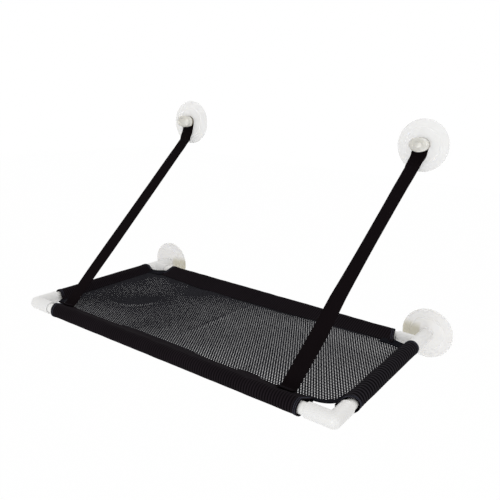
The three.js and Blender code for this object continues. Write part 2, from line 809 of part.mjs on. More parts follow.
// Lower cup: a solid stem that plugs into the tee, then a flat boss and the cup's face.
function lowerCupGeometry() {
  const bossHeight = rearRailToGlass - teeRunReach - gap;
  const stemEnd = rearY + tubeSetback;
  return revolve([
    [0, stemEnd],
    [tubeRadius - stemNoseChamfer, stemEnd],
    [tubeRadius, stemEnd + stemNoseChamfer],
    [tubeRadius, -bossHeight],
    ...cupFaceProfile(lowerBossDiameter / 2, bossHeight),
  ], cupSides);
}

function addCups() {
  for (const [name, x] of [['upper_left_cup', -upperCupX], ['upper_right_cup', upperCupX]]) {
    addPiece(name, upperCupGeometry(), 'clearCup').position.set(x, 0, upperCupHeight);
  }
  for (const [name, x] of [['lower_left_cup', -sideX], ['lower_right_cup', sideX]]) {
    addPiece(name, lowerCupGeometry(), 'milkyCup').position.set(x, 0, 0);
  }
}

addTubes();
addFittings();
addSleeves();
addMeshBed();
addFrontBindings();
addRearBindings();
addStrap('left', -1, leftStrap);
addStrap('right', 1, rightStrap);
addCups();

export default perch;
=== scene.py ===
"""Cat window perch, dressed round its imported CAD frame.

A tube frame carries a bed of open mesh in four sewn sleeves. It plugs into two milky suction cups
below and hangs on two webbing straps from two clear suction cups above.

The shape code works in millimetres, as the CAD source does, and a mesh becomes metres when it is
made. +X runs to the right along the glass, +Y towards the glass and +Z up. The glass is y = 0, and
z = 0 is the plane of the tubes' axes.
"""

import logging
import math
from dataclasses import dataclass, field
from enum import Enum
from functools import reduce

import bpy
import numpy as np
from mathutils import Matrix, Vector
from numpy.typing import NDArray


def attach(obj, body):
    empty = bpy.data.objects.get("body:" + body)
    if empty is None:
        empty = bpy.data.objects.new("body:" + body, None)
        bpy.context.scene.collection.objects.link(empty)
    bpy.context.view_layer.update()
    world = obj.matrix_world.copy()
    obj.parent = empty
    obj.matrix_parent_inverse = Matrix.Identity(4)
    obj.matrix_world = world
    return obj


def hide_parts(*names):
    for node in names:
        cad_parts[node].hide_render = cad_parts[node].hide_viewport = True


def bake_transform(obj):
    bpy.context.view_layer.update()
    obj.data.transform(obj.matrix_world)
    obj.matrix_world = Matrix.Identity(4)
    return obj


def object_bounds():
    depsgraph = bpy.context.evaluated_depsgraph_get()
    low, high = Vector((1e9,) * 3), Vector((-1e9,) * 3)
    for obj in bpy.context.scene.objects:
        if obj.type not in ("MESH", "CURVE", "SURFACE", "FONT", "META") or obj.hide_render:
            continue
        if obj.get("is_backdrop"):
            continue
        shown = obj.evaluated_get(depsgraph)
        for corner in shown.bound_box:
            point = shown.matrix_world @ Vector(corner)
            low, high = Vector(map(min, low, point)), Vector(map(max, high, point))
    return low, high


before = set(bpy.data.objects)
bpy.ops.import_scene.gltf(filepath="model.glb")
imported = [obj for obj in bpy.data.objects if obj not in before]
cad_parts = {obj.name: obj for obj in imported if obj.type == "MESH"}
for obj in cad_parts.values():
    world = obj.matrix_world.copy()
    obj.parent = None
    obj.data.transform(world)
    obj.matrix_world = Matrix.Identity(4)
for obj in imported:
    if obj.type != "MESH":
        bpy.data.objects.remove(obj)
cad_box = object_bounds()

Points = NDArray[np.float64]
Faces = NDArray[np.int64]

MILLIMETRE = 0.001
CLOTH_UV = "cloth"
X_AXIS = np.array([1.0, 0.0, 0.0])
FLIP_X = np.array([-1.0, 1.0, 1.0])
FLIP_Y = np.array([1.0, -1.0, 1.0])
ON_AXIS = 1e-9

# A thread stitch: its rings' stations as shares of its length, and their girths and sinks as shares
# of the thread's radius
STITCH_SIDES = 6
STITCH_STATION_SHARES = (-0.5, -0.36, 0.36, 0.5)
STITCH_GIRTH_SHARES = (0.45, 1.0, 1.0, 0.45)
STITCH_SINK_SHARES = (-0.7, 0.0, 0.0, -0.7)

Triple = tuple[float, float, float]
Pair = tuple[float, float]
Socket = bpy.types.NodeSocket
Tree = bpy.types.NodeTree
Material = bpy.types.Material
Inputs = dict[str | int, object]

log = logging.getLogger("perch")


# Shapes


@dataclass
class Shell:
    """A mesh while it is worked out.

    Attributes:
        points: One row of x, y, z for each point, in millimetres.
        faces: Arrays of point numbers, each with one row for each face and one column for each corner.
        cloth: One row of u, v for each point, in millimetres along the cloth, or None.
    """

    points: Points
    faces: list[Faces]
    cloth: Points | None = None

    def moved(self, turn: float, place: Triple) -> "Shell":
        """Turn the shell about Z and then move it.

        Args:
            turn: Angle in degrees.
            place: How far to move it, in millimetres.

        Returns:
            The shell in its new place.
        """
        cos, sin = math.cos(math.radians(turn)), math.sin(math.radians(turn))
        rotation = np.array([[cos, -sin, 0.0], [sin, cos, 0.0], [0.0, 0.0, 1.0]])
        return Shell(self.points @ rotation.T + np.array(place), self.faces, self.cloth)

    def mirrored(self) -> "Shell":
        """Return the shell mirrored in the plane x = 0, with its faces still pointing outwards."""
        points = self.points * FLIP_X
        return Shell(points, [faces[:, ::-1] for faces in self.faces], self.cloth)


def merged(shells: list[Shell]) -> Shell:
    """Put several shells into one, each with its own points.

    Args:
        shells: The shells, which either all have cloth coordinates or none has.

    Returns:
        One shell with all their points and faces.
    """
    offsets = np.cumsum([0] + [len(shell.points) for shell in shells[:-1]])
    faces = [group + offset for shell, offset in zip(shells, offsets) for group in shell.faces]
    cloths = [shell.cloth for shell in shells if shell.cloth is not None]
    cloth = np.concatenate(cloths) if len(cloths) == len(shells) else None
    return Shell(np.concatenate([shell.points for shell in shells]), faces, cloth)


def welded(shell: Shell, distance: float = 0.002) -> Shell:
    """Make one point of all the points that share a place.

    Args:
        shell: The shell, whose patches meet in equal points.
        distance: Size of the cells that places are rounded to, in millimetres.

    Returns:
        The shell with its patches joined and its collapsed faces left out.
    """
    keys = np.round(shell.points / distance).astype(np.int64)
    _, first, number = np.unique(keys, axis=0, return_index=True, return_inverse=True)
    number = number.ravel()
    faces = []
    for group in (number[faces_of] for faces_of in shell.faces):
        repeats = group == np.roll(group, -1, axis=1)
        faces.append(group[~repeats.any(axis=1)])
        collapsed, marks = group[repeats.sum(axis=1) == 1], repeats[repeats.sum(axis=1) == 1]
        if len(collapsed):
            faces.append(collapsed[~marks].reshape(len(collapsed), -1))
    cloth = None if shell.cloth is None else shell.cloth[first]
    return Shell(shell.points[first], faces, cloth)


def grid_faces(rows: int, columns: int, close_rows: bool = False, close_columns: bool = False) -> Faces:
    """Quads of a grid of points that are numbered row by row.

    Args:
        rows: Number of rows.
        columns: Number of points in a row.
        close_rows: Whether the last row joins the first.
        close_columns: Whether the last column joins the first.

    Returns:
        One row of four point numbers for each quad.
    """
    row, column = np.meshgrid(
        np.arange(rows if close_rows else rows - 1),
        np.arange(columns if close_columns else columns - 1),
        indexing="ij",
    )
    next_row, next_column = (row + 1) % rows, (column + 1) % columns
    corners = [(row, column), (next_row, column), (next_row, next_column), (row, next_column)]
    return np.stack([r * columns + c for r, c in corners], axis=-1).reshape(-1, 4)


def grid_shell(points: Points, cloth: Points | None = None) -> Shell:
    """An open surface over a grid of points.

    Args:
        points: Rows by columns by x, y, z.
        cloth: Rows by columns by u, v, or None.

    Returns:
        The surface.
    """
    rows, columns = points.shape[:2]
    flat = None if cloth is None else cloth.reshape(-1, 2)
    return Shell(points.reshape(-1, 3), [grid_faces(rows, columns)], flat)


def unit(vectors: Points) -> Points:
    """Return the vectors at length one."""
    return vectors / np.maximum(np.linalg.norm(vectors, axis=-1, keepdims=True), 1e-12)


def point_normals(shell: Shell) -> Points:
    """Normal at each point: the sum of the cross products of its faces' diagonals, at length one.

    Args:
        shell: A shell of quads.

    Returns:
        One row of x, y, z for each point.
    """
    normals = np.zeros_like(shell.points)
    for quads in shell.faces:
        corner = shell.points[quads]
        facing = np.cross(corner[:, 2] - corner[:, 0], corner[:, -1] - corner[:, 1])
        for column in quads.T:
            np.add.at(normals, column, facing)
    return unit(normals)


def thickened(shell: Shell, thickness: float | Points, roundness: float = 0.8) -> Shell:
    """Give an open surface its thickness, half to each side, with rounded edges.

    Each point splits in two, at half the thickness along its normal and against it. Every edge
    that has only one face gets two more rows of faces, over a point that stands out sideways.

    Args:
        shell: An open surface of quads.
        thickness: The thickness, or one for each point, in millimetres.
        roundness: How far an edge stands out, as a share of half the thickness.

    Returns:
        A closed shell whose faces point outwards.
    """
    count = len(shell.points)
    half = np.broadcast_to(np.asarray(thickness, float) / 2, (count,))[:, None]
    normals = point_normals(shell)
    edges = np.concatenate([
        np.stack([quads, np.roll(quads, -1, axis=1)], axis=-1).reshape(-1, 2) for quads in shell.faces
    ])
    forward = edges[:, 0] * count + edges[:, 1]
    backward = edges[:, 1] * count + edges[:, 0]
    rim = edges[~np.isin(forward, backward)]
    along = shell.points[rim[:, 1]] - shell.points[rim[:, 0]]
    sideways = np.zeros_like(shell.points)
    for end in (0, 1):
        np.add.at(sideways, rim[:, end], unit(np.cross(along, normals[rim[:, end]])))
    rim_points = shell.points + unit(sideways) * half * roundness
    points = np.concatenate([
        shell.points + normals * half,
        shell.points - normals * half,
        rim_points[rim[:, 0]],
    ])
    rim_number = np.zeros(count, np.int64)
    rim_number[rim[:, 0]] = 2 * count + np.arange(len(rim))
    start, end = rim[:, 0], rim[:, 1]
    upper = np.stack([end, start, rim_number[start], rim_number[end]], axis=-1)
    lower = np.stack([rim_number[end], rim_number[start], start + count, end + count], axis=-1)
    faces = [group for quads in shell.faces for group in (quads, quads[:, ::-1] + count)]
    cloth = None
    if shell.cloth is not None:
        cloth = np.concatenate([shell.cloth, shell.cloth, shell.cloth[rim[:, 0]]])
    return Shell(points, [*faces, upper, lower], cloth)


def revolved(profile: Points, sides: int) -> Shell:
    """Turn a profile about the Y axis: x = r cos a, y = station, z = r sin a.

    Args:
        profile: Rows of radius and station. Where an end is on the axis it becomes one point, and
            a profile whose ends are not on the axis is closed on itself.
        sides: Number of steps round the axis.

    Returns:
        A closed shell, whose cloth coordinates are the radius and the station.
    """
    at_axis = profile[:, 0] < ON_AXIS
    rings = profile[~at_axis]
    angles = np.arange(sides) * 2 * np.pi / sides
    points = np.stack([
        rings[:, :1] * np.cos(angles),
        np.repeat(rings[:, 1:], sides, axis=1),
        rings[:, :1] * np.sin(angles),
    ], axis=-1).reshape(-1, 3)
    turned = np.repeat(rings, sides, axis=0)
    closed = not at_axis.any()
    faces = [grid_faces(len(rings), sides, close_rows=closed, close_columns=True)]
    if closed:
        return Shell(points, faces, turned)
    poles = np.array([[0.0, profile[0, 1], 0.0], [0.0, profile[-1, 1], 0.0]])
    step = np.arange(sides)
    after = (step + 1) % sides
    last = (len(rings) - 1) * sides
    first_pole, last_pole = len(points), len(points) + 1
    faces.append(np.stack([np.full(sides, first_pole), step, after], axis=-1))
    faces.append(np.stack([last + step, np.full(sides, last_pole), last + after], axis=-1))
    return Shell(np.concatenate([points, poles]), faces, np.concatenate([turned, poles[:, :2]]))


def arc(centre: Pair, radius: float, start: float, end: float, steps: int) -> Points:
    """Points of a plane arc: its centre plus the radius times cos and sin of the angle in degrees."""
    angles = np.radians(np.linspace(start, end, steps + 1))
    return np.array(centre) + radius * np.stack([np.cos(angles), np.sin(angles)], axis=-1)


def bezier(controls: list[Points], steps: int) -> Points:
    """Points of a cubic Bezier curve, both ends included.

    Args:
        controls: Four control points.
        steps: Number of steps.

    Returns:
        One row for each point.
    """
    t = np.linspace(0, 1, steps + 1)[:, None]
    a, b, c, d = (np.asarray(control, float) for control in controls)
    return a * (1 - t) ** 3 + 3 * b * t * (1 - t) ** 2 + 3 * c * t**2 * (1 - t) + d * t**3


def lengths_along(path: Points) -> Points:
    """Distance along a path at each of its points, which are rows of the array."""
    return np.concatenate([[0.0], np.cumsum(np.linalg.norm(np.diff(path, axis=0), axis=1))])


def smooth_step(value: Points, start: float, end: float) -> Points:
    """Rise from 0 at start to 1 at end along 3t^2 - 2t^3."""
    t = np.clip((value - start) / (end - start), 0, 1)
    return t * t * (3 - 2 * t)


def bump(value: Points, middle: float, width: float) -> Points:
    """A bell of height 1: e to the minus square of the distance from the middle over the width."""
    return np.exp(-(((value - middle) / width) ** 2))


def ripple(
    u: Points, v: Points, wavelength: float, seed: int, waves: int = 7, spread: Pair = (0.6, 1.7)
) -> Points:
    """A smooth irregular ripple, mostly between -1 and 1.

    It is the sum of several sines over the square root of their number. They cross the surface in
    seeded directions, with wavelengths spread about the one that is given.

    Args:
        u: First coordinate.
        v: Second coordinate.
        wavelength: Usual wavelength, in the coordinates' unit.
        seed: Seed of the directions, wavelengths and phases.
        waves: Number of sines.
        spread: Least and greatest share of the usual wavelength that a sine may have.

    Returns:
        The ripple at each point.
    """
    random = np.random.default_rng(seed)
    turns = random.uniform(0, 2 * np.pi, waves)
    rates = 2 * np.pi / (wavelength * random.uniform(*spread, waves))
    phases = random.uniform(0, 2 * np.pi, waves)
    total = sum(
        np.sin(rate * (u * math.cos(turn) + v * math.sin(turn)) + phase)
        for turn, rate, phase in zip(turns, rates, phases)
    )
    return total / math.sqrt(waves)


def stitch_row(path: Points, normals: Points, pitch: float, length: float, radius: float) -> Shell:
    """A row of thread stitches on a surface.

    A stitch is a short tube of four rings of six points, closed at both ends, whose end rings are
    drawn in and sunk. Its points are the place on the path, plus a share of the length along it,
    plus the radius times cos and sin of the angle along the normal and sideways.

    Args:
        path: Points that the row follows, already on the surface.
        normals: The surface's normal at each of them.
        pitch: Distance from one stitch to the next.
        length: Length of a stitch.
        radius: Radius of the thread.

    Returns:
        One shell with all the stitches.
    """
    along = lengths_along(path)
    count = max(int((along[-1] - length) / pitch), 1)
    middle = (along[-1] - (count - 1) * pitch) / 2 + np.arange(count) * pitch

    def at(values: Points, places: Points) -> Points:
        """Return the path's values at the given distances along it."""
        return np.stack([np.interp(places, along, column) for column in values.T], axis=-1)

    centres = at(path, middle)
    direction = unit(at(path, middle + length / 2) - at(path, middle - length / 2))
    up = unit(at(normals, middle))
    side = unit(np.cross(direction, up))
    rings, around = len(STITCH_STATION_SHARES), STITCH_SIDES
    station = np.array(STITCH_STATION_SHARES) * length
    girth = np.array(STITCH_GIRTH_SHARES) * radius
    sink = np.array(STITCH_SINK_SHARES) * radius
    angles = np.arange(around) * 2 * np.pi / around
    ring_up = sink[:, None] + girth[:, None] * np.cos(angles)
    ring_side = girth[:, None] * np.sin(angles)
    points = (
        centres[:, None, None]
        + station[None, :, None, None] * direction[:, None, None]
        + ring_up[None, :, :, None] * up[:, None, None]
        + ring_side[None, :, :, None] * side[:, None, None]
    )
    sides = grid_faces(rings, around, close_columns=True)[:, ::-1]
    last = rings * around - 1
    caps = np.array([np.arange(around), np.arange(last, last - around, -1)])
    offsets = (np.arange(count) * rings * around)[:, None, None]
    return Shell(
        points.reshape(-1, 3),
        [(sides[None] + offsets).reshape(-1, 4), (caps[None] + offsets).reshape(-1, around)],
    )


def placed(name: str, data: bpy.types.ID) -> bpy.types.Object:
    """Put an object with the given mesh, lamp or camera into the scene, and return it."""
    made = bpy.data.objects.new(name, data)
    bpy.context.scene.collection.objects.link(made)
    return made


def make_piece(
    name: str,
    shell: Shell,
    material: Material,
    slot: str,
    body: str | None = None,
    replaces: tuple[str, ...] = (),
    sharp_degrees: float = 38.0,
) -> bpy.types.Object:
    """Args:
        name: Name of the piece.
        shell: Its closed shell, in millimetres.
        material: Its material.
        slot: Name of a material slot; not used.
        body: The CAD body that it rides on, or None where it is blended between two afterwards.
        replaces: The CAD nodes that it stands for.
        sharp_degrees: Edges that turn more than this stay sharp.

    Returns:
        The object.
    """
    mesh = bpy.data.meshes.new(name)
    faces = [face for group in shell.faces for face in group.tolist()]
    mesh.from_pydata((shell.points * MILLIMETRE).tolist(), [], faces)
    if shell.cloth is not None:
        corner_points = np.zeros(len(mesh.loops), np.int32)
        mesh.loops.foreach_get("vertex_index", corner_points)
        places = (shell.cloth[corner_points] * MILLIMETRE).astype(np.float32)
        mesh.uv_layers.new(name=CLOTH_UV).data.foreach_set("uv", places.ravel())
    mesh.shade_smooth()
    mesh.set_sharp_from_angle(angle=math.radians(sharp_degrees))
    mesh.materials.append(material)
    piece = placed(name, mesh)
    if body is not None:
        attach(piece, body)
    if replaces:
        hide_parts(*replaces)
    log.info("%s: %d points, %d faces", name, len(mesh.vertices), len(mesh.polygons))
    return piece


# Finishes

# Sockets of Blender's Mix node where it mixes colours
MIX_SHARE, MIX_FIRST, MIX_SECOND, MIX_RESULT = 0, 6, 7, 2

# Scale of the noise that the woven ribs wander with
WANDER_SCALE = 180.0


class Nodes:
    """Adds nodes to one node tree and joins them.

    Args:
        tree: The tree of a material, a world or a group.
    """

    def __init__(self, tree: Tree) -> None:
        """Take the tree."""
        self.tree = tree

    def add(self, kind: str, inputs: Inputs | None = None, **settings: object) -> bpy.types.Node:
        """Add a node.

        Args:
            kind: Its type name without the leading ShaderNode.
            inputs: What to feed to its inputs, by their names or numbers.
            **settings: Its attributes.

        Returns:
            The node.
        """
        node = self.tree.nodes.new("ShaderNode" + kind)
        for name, value in settings.items():
            setattr(node, name, value)
        self.fill(node, inputs or {})
        return node

    def fill(self, node: bpy.types.Node, inputs: Inputs) -> None:
        """Join each socket in the values to its input, and set the inputs that get a plain value.

        Args:
            node: The node.
            inputs: Sockets, numbers, vectors or colours of three parts, by input name or number.
        """
        for key, value in inputs.items():
            target = node.inputs[key]
            if isinstance(value, Socket):
                self.tree.links.new(value, target)
            elif target.type == "RGBA":
                target.default_value = (*value, 1.0)
            else:
                target.default_value = value

    def math(self, operation: str, *values: object) -> Socket:
        """Add a Math node over one or two sockets or numbers, and return its output."""
        return self.add("Math", dict(enumerate(values)), operation=operation).outputs[0]

    def cloth(self) -> Socket:
        """Return the cloth coordinates, as a vector."""
        return self.add("UVMap", uv_map=CLOTH_UV).outputs["UV"]

    def split(self, vector: Socket) -> list[Socket]:
        """Return the three parts of a vector."""
        return list(self.add("SeparateXYZ", {0: vector}).outputs)

    def blend(self, share: object, first: object, second: object, blend_type: str = "MIX") -> Socket:
        """Blend two colours by the second's share, in the given way, and return the blend."""
        inputs = {MIX_SHARE: share, MIX_FIRST: first, MIX_SECOND: second}
        return self.add("Mix", inputs, data_type="RGBA", blend_type=blend_type).outputs[MIX_RESULT]

    def tinted(self, colour: Socket, tint: Triple, *masks: Socket) -> Socket:
        """Blend a colour towards a tint by the product of some masks, and return the blend."""
        return self.blend(reduce(lambda a, b: self.math("MULTIPLY", a, b), masks), colour, tint)

    def rise(self, value: Socket, start: float, end: float, most: float = 1.0) -> Socket:
        """Rise smoothly from 0 to the most as a value goes from start to end, and return the result."""
        inputs = {"Value": value, "From Min": start, "From Max": end, "To Max": most}
        return self.add("MapRange", inputs, interpolation_type="SMOOTHSTEP").outputs["Result"]

    def surface(self, share: Socket, first: bpy.types.Node, second: bpy.types.Node, end: str) -> None:
        """Show a mix of two shaders, by the second's share, at the output node of that name."""
        mix = self.add("MixShader", {0: share, 1: first.outputs[0], 2: second.outputs[0]})
        self.fill(self.tree.nodes[end], {"Surface": mix.outputs[0]})


def new_group(name: str, inputs: dict[str, str], outputs: dict[str, str]) -> Nodes:
    """Start a shader node group.

    Args:
        name: Its name.
        inputs: Input names with their kinds: Float, Vector or Color.
        outputs: The same for its outputs.

    Returns:
        Its nodes, of which the two ends are called Inputs and Outputs.
    """
    tree = bpy.data.node_groups.new(name, "ShaderNodeTree")
    for sockets, way in ((inputs, "INPUT"), (outputs, "OUTPUT")):
        for socket, kind in sockets.items():
            tree.interface.new_socket(name=socket, in_out=way, socket_type="NodeSocket" + kind)
    tree.nodes.new("NodeGroupInput").name = "Inputs"
    tree.nodes.new("NodeGroupOutput").name = "Outputs"
    return Nodes(tree)


def speckle_group() -> Tree:
    """Fine grain with soft cloudy patches, for plastic and cloth alike.

    Height is a fine noise, Patches a broad one, and Shade is one minus the strength times how far
    both fall short of one half.

    Returns:
        The group, with the inputs Vector, Grain, Cloud and Strength.
    """
    made = new_group(
        "speckle",
        {"Vector": "Vector", "Grain": "Float", "Cloud": "Float", "Strength": "Float"},
        {"Height": "Float", "Patches": "Float", "Shade": "Float"},
    )
    given = made.tree.nodes["Inputs"].outputs
    fine, broad = (
        made.add("TexNoise", {"Vector": given["Vector"], "Scale": given[scale], "Detail": detail})
        for scale, detail in (("Grain", 3.0), ("Cloud", 2.0))
    )
    height, patches = fine.outputs["Fac"], broad.outputs["Fac"]
    short = made.math("SUBTRACT", 1.0, made.math("ADD", height, patches))
    shade = made.math("SUBTRACT", 1.0, made.math("MULTIPLY", short, given["Strength"]))
    made.fill(made.tree.nodes["Outputs"], {"Height": height, "Patches": patches, "Shade": shade})
    return made.tree


def weave_group() -> Tree:
    """A woven rib: cords across the cloth, each crossed by fine yarns.

    Height is the absolute sine of the distance over the rib pitch, less a share of the absolute
    sine of the distance over the yarn pitch. Valley is one minus the first of them. Both distances
    wander with a little noise.

    Returns:
        The group, with the inputs Vector, Rib Pitch, Yarn Pitch, Yarn Share and Wander.
    """
    made = new_group(
        "woven ribs",
        {"Vector": "Vector", "Rib Pitch": "Float", "Yarn Pitch": "Float", "Yarn Share": "Float",
         "Wander": "Float"},
        {"Height": "Float", "Valley": "Float"},
    )
    given = made.tree.nodes["Inputs"].outputs
    noise = made.add("TexNoise", {"Vector": given["Vector"], "Scale": WANDER_SCALE})
    wander = made.math("MULTIPLY", noise.outputs["Fac"], given["Wander"])
    across, along, _ = made.split(given["Vector"])

    def ridges(distance: Socket, pitch: str) -> Socket:
        """Return the absolute sine of half a turn for each pitch of the distance."""
        turns = made.math("DIVIDE", made.math("ADD", distance, wander), given[pitch])
        return made.math("ABSOLUTE", made.math("SINE", made.math("MULTIPLY", turns, math.pi)))

    ribs, yarns = ridges(along, "Rib Pitch"), ridges(across, "Yarn Pitch")
    height = made.math("SUBTRACT", ribs, made.math("MULTIPLY", yarns, given["Yarn Share"]))
    valley = made.math("SUBTRACT", 1.0, ribs)
    made.fill(made.tree.nodes["Outputs"], {"Height": height, "Valley": valley})
    return made.tree


def principled(name: str) -> tuple[Material, Nodes, bpy.types.Node]:
    """Start a material with a Principled BSDF.

    Args:
        name: Its name.

    Returns:
        The material, its nodes and its shader.
    """
    material = bpy.data.materials.new(name)
    material.use_nodes = True
    nodes = Nodes(material.node_tree)
    return material, nodes, material.node_tree.nodes["Principled BSDF"]


@dataclass(frozen=True)
class PlasticFinish:
    """A moulded plastic.

    Attributes:
        name: Name of the material.
        colour: Linear red, green and blue.
        tint: Colour of its cloudy patches.
        roughness: Mean roughness.
        ior: Index of refraction.
        transmission: Share of light that passes through.
        grain: Height of its fine grain, in metres.
        subsurface: Share of light that spreads under the skin.
        specular: Strength of its mirroring, 0.5 being usual.
        thin_radius: Radius beyond which a turned piece thins out to its clear rim, or 0.
        thin_width: Width over which it does.
        rim_clear_share: Share of the rim that is clear.
        clear_share: Share of a turned piece's disc that is clear.
        head_station: Station in front of which a turned piece is its head, or 0.
        head_ease: Length over which the head's look goes over into the disc's.
        head_tint: Colour of the head.
        heel_shade_tint: Painted shade along the head's rear edge, for the dark parts that show through it.
        heel_stations: Where that edge begins and is full, behind the head's station.
        heel_radii: Radii between which it comes in.
        heel_shade_share: Strength of that painted shade.
        rail_shadow_tint: Colour of the painted shadow that the rear rail casts on the disc, or None.
        rail_shadow_sides: Distances from the middle where that painted shadow begins and is full.
        rail_shadow_tops: Heights where it begins and is full.
        rail_shadow_feet: Heights where it ends and is full.
        rail_shadow_facings: Y parts of the normal between which it comes in.
    """

    name: str
    colour: Triple
    tint: Triple
    roughness: float
    ior: float = 1.49
    transmission: float = 0.0
    grain: float = 0.00003
    subsurface: float = 0.0
    specular: float = 0.5
    thin_radius: float = 0.0
    thin_width: float = 0.0035
    rim_clear_share: float = 0.85
    clear_share: float = 0.0
    head_station: float = 0.0
    head_ease: float = 0.001
    head_tint: Triple = (0.97, 0.955, 0.9)
    # Painted shade at the clear head's rear edge, for the dark parts that show through it
    heel_shade_tint: Triple = (0.13, 0.1, 0.04)
    heel_stations: Pair = (-0.0052, -0.0036)
    heel_radii: Pair = (0.0112, 0.012)
    heel_shade_share: float = 0.9
    rail_shadow_tint: Triple | None = None
    rail_shadow_sides: Pair = (0.262, 0.257)
    rail_shadow_tops: Pair = (0.018, 0.004)
    rail_shadow_feet: Pair = (-0.03, -0.01)
    rail_shadow_facings: Pair = (-0.5, -0.8)

    def turned(self, nodes: Nodes, colour: Socket, place: Socket) -> tuple[Socket, Socket]:
        """Tint the head of a turned piece, or its disc beside the rail, and find its thin rim.

        Each mask rises smoothly from 0 to 1 between two places, and a tint's masks are multiplied.
        The tint on the disc beside the rail is a painted shadow of the rear rail, and the tint at
        the head's rear edge is painted shade.

        Args:
            nodes: The material's nodes.
            colour: The plain colour.
            place: The object's coordinates.

        Returns:
            The tinted colour, and the share of it that is clear.
        """
        radius, station, _ = nodes.split(nodes.cloth())
        thin = self.thin_radius
        rim = nodes.rise(radius, thin, thin + self.thin_width, self.rim_clear_share)
        # Painted shadow: the disc's front face goes towards an olive tint beside and just above the rear
        # rail, where the rail's shade falls.
        if self.rail_shadow_tint:
            x, _, z = nodes.split(place)
            inner = nodes.rise(nodes.math("ABSOLUTE", x), *self.rail_shadow_sides)
            under, over = nodes.rise(z, *self.rail_shadow_tops), nodes.rise(z, *self.rail_shadow_feet)
            normal = nodes.split(nodes.add("NewGeometry").outputs["Normal"])
            front = nodes.rise(normal[1], *self.rail_shadow_facings)
            colour = nodes.tinted(colour, self.rail_shadow_tint, inner, under, over, front)
        if not self.head_station:
            return colour, nodes.math("MAXIMUM", rim, self.clear_share)
        behind = self.head_station + self.head_ease
        body = nodes.rise(station, self.head_station, behind, self.clear_share)
        head = nodes.rise(station, behind, self.head_station)
        back = nodes.rise(station, *(self.head_station + reach for reach in self.heel_stations))
        outside = nodes.rise(radius, *self.heel_radii, self.heel_shade_share)
        colour = nodes.tinted(colour, self.head_tint, head)
        # Painted shade: a dark rim at the clear head's rear edge, for the dark parts that show through it.
        colour = nodes.tinted(colour, self.heel_shade_tint, head, back, outside)
        return colour, nodes.math("MAXIMUM", rim, body)

    def material(self, speckle: Tree) -> Material:
        """Build the material.

        Its roughness is 0.75 of the mean plus half the mean times the cloudy patches.

        Args:
            speckle: The speckle group.

        Returns:
            The material.
        """
        material, nodes, shader = principled(self.name)
        place = nodes.add("TexCoord").outputs["Object"]
        marks = nodes.add("Group", {
            "Vector": place, "Grain": 900.0, "Cloud": 16.0, "Strength": 0.05,
        }, node_tree=speckle).outputs
        shown = nodes.blend(marks["Patches"], self.colour, self.tint)
        if self.thin_radius:
            shown, clear = self.turned(nodes, shown, place)
            nodes.surface(clear, shader, nodes.add("BsdfTransparent"), "Material Output")
        rough = nodes.math("MULTIPLY", marks["Patches"], 0.5 * self.roughness)
        relief = nodes.add("Bump", {"Strength": 0.35, "Distance": self.grain, "Height": marks["Height"]})
        nodes.fill(shader, {
            "Base Color": shown,
            "Roughness": nodes.math("ADD", rough, 0.75 * self.roughness),
            "Normal": relief.outputs["Normal"],
            "IOR": self.ior,
            "Specular IOR Level": self.specular,
            "Transmission Weight": self.transmission,
            "Subsurface Weight": self.subsurface,
            "Subsurface Radius": (1.0, 0.95, 0.85),
            "Subsurface Scale": 0.004,
        })
        return material


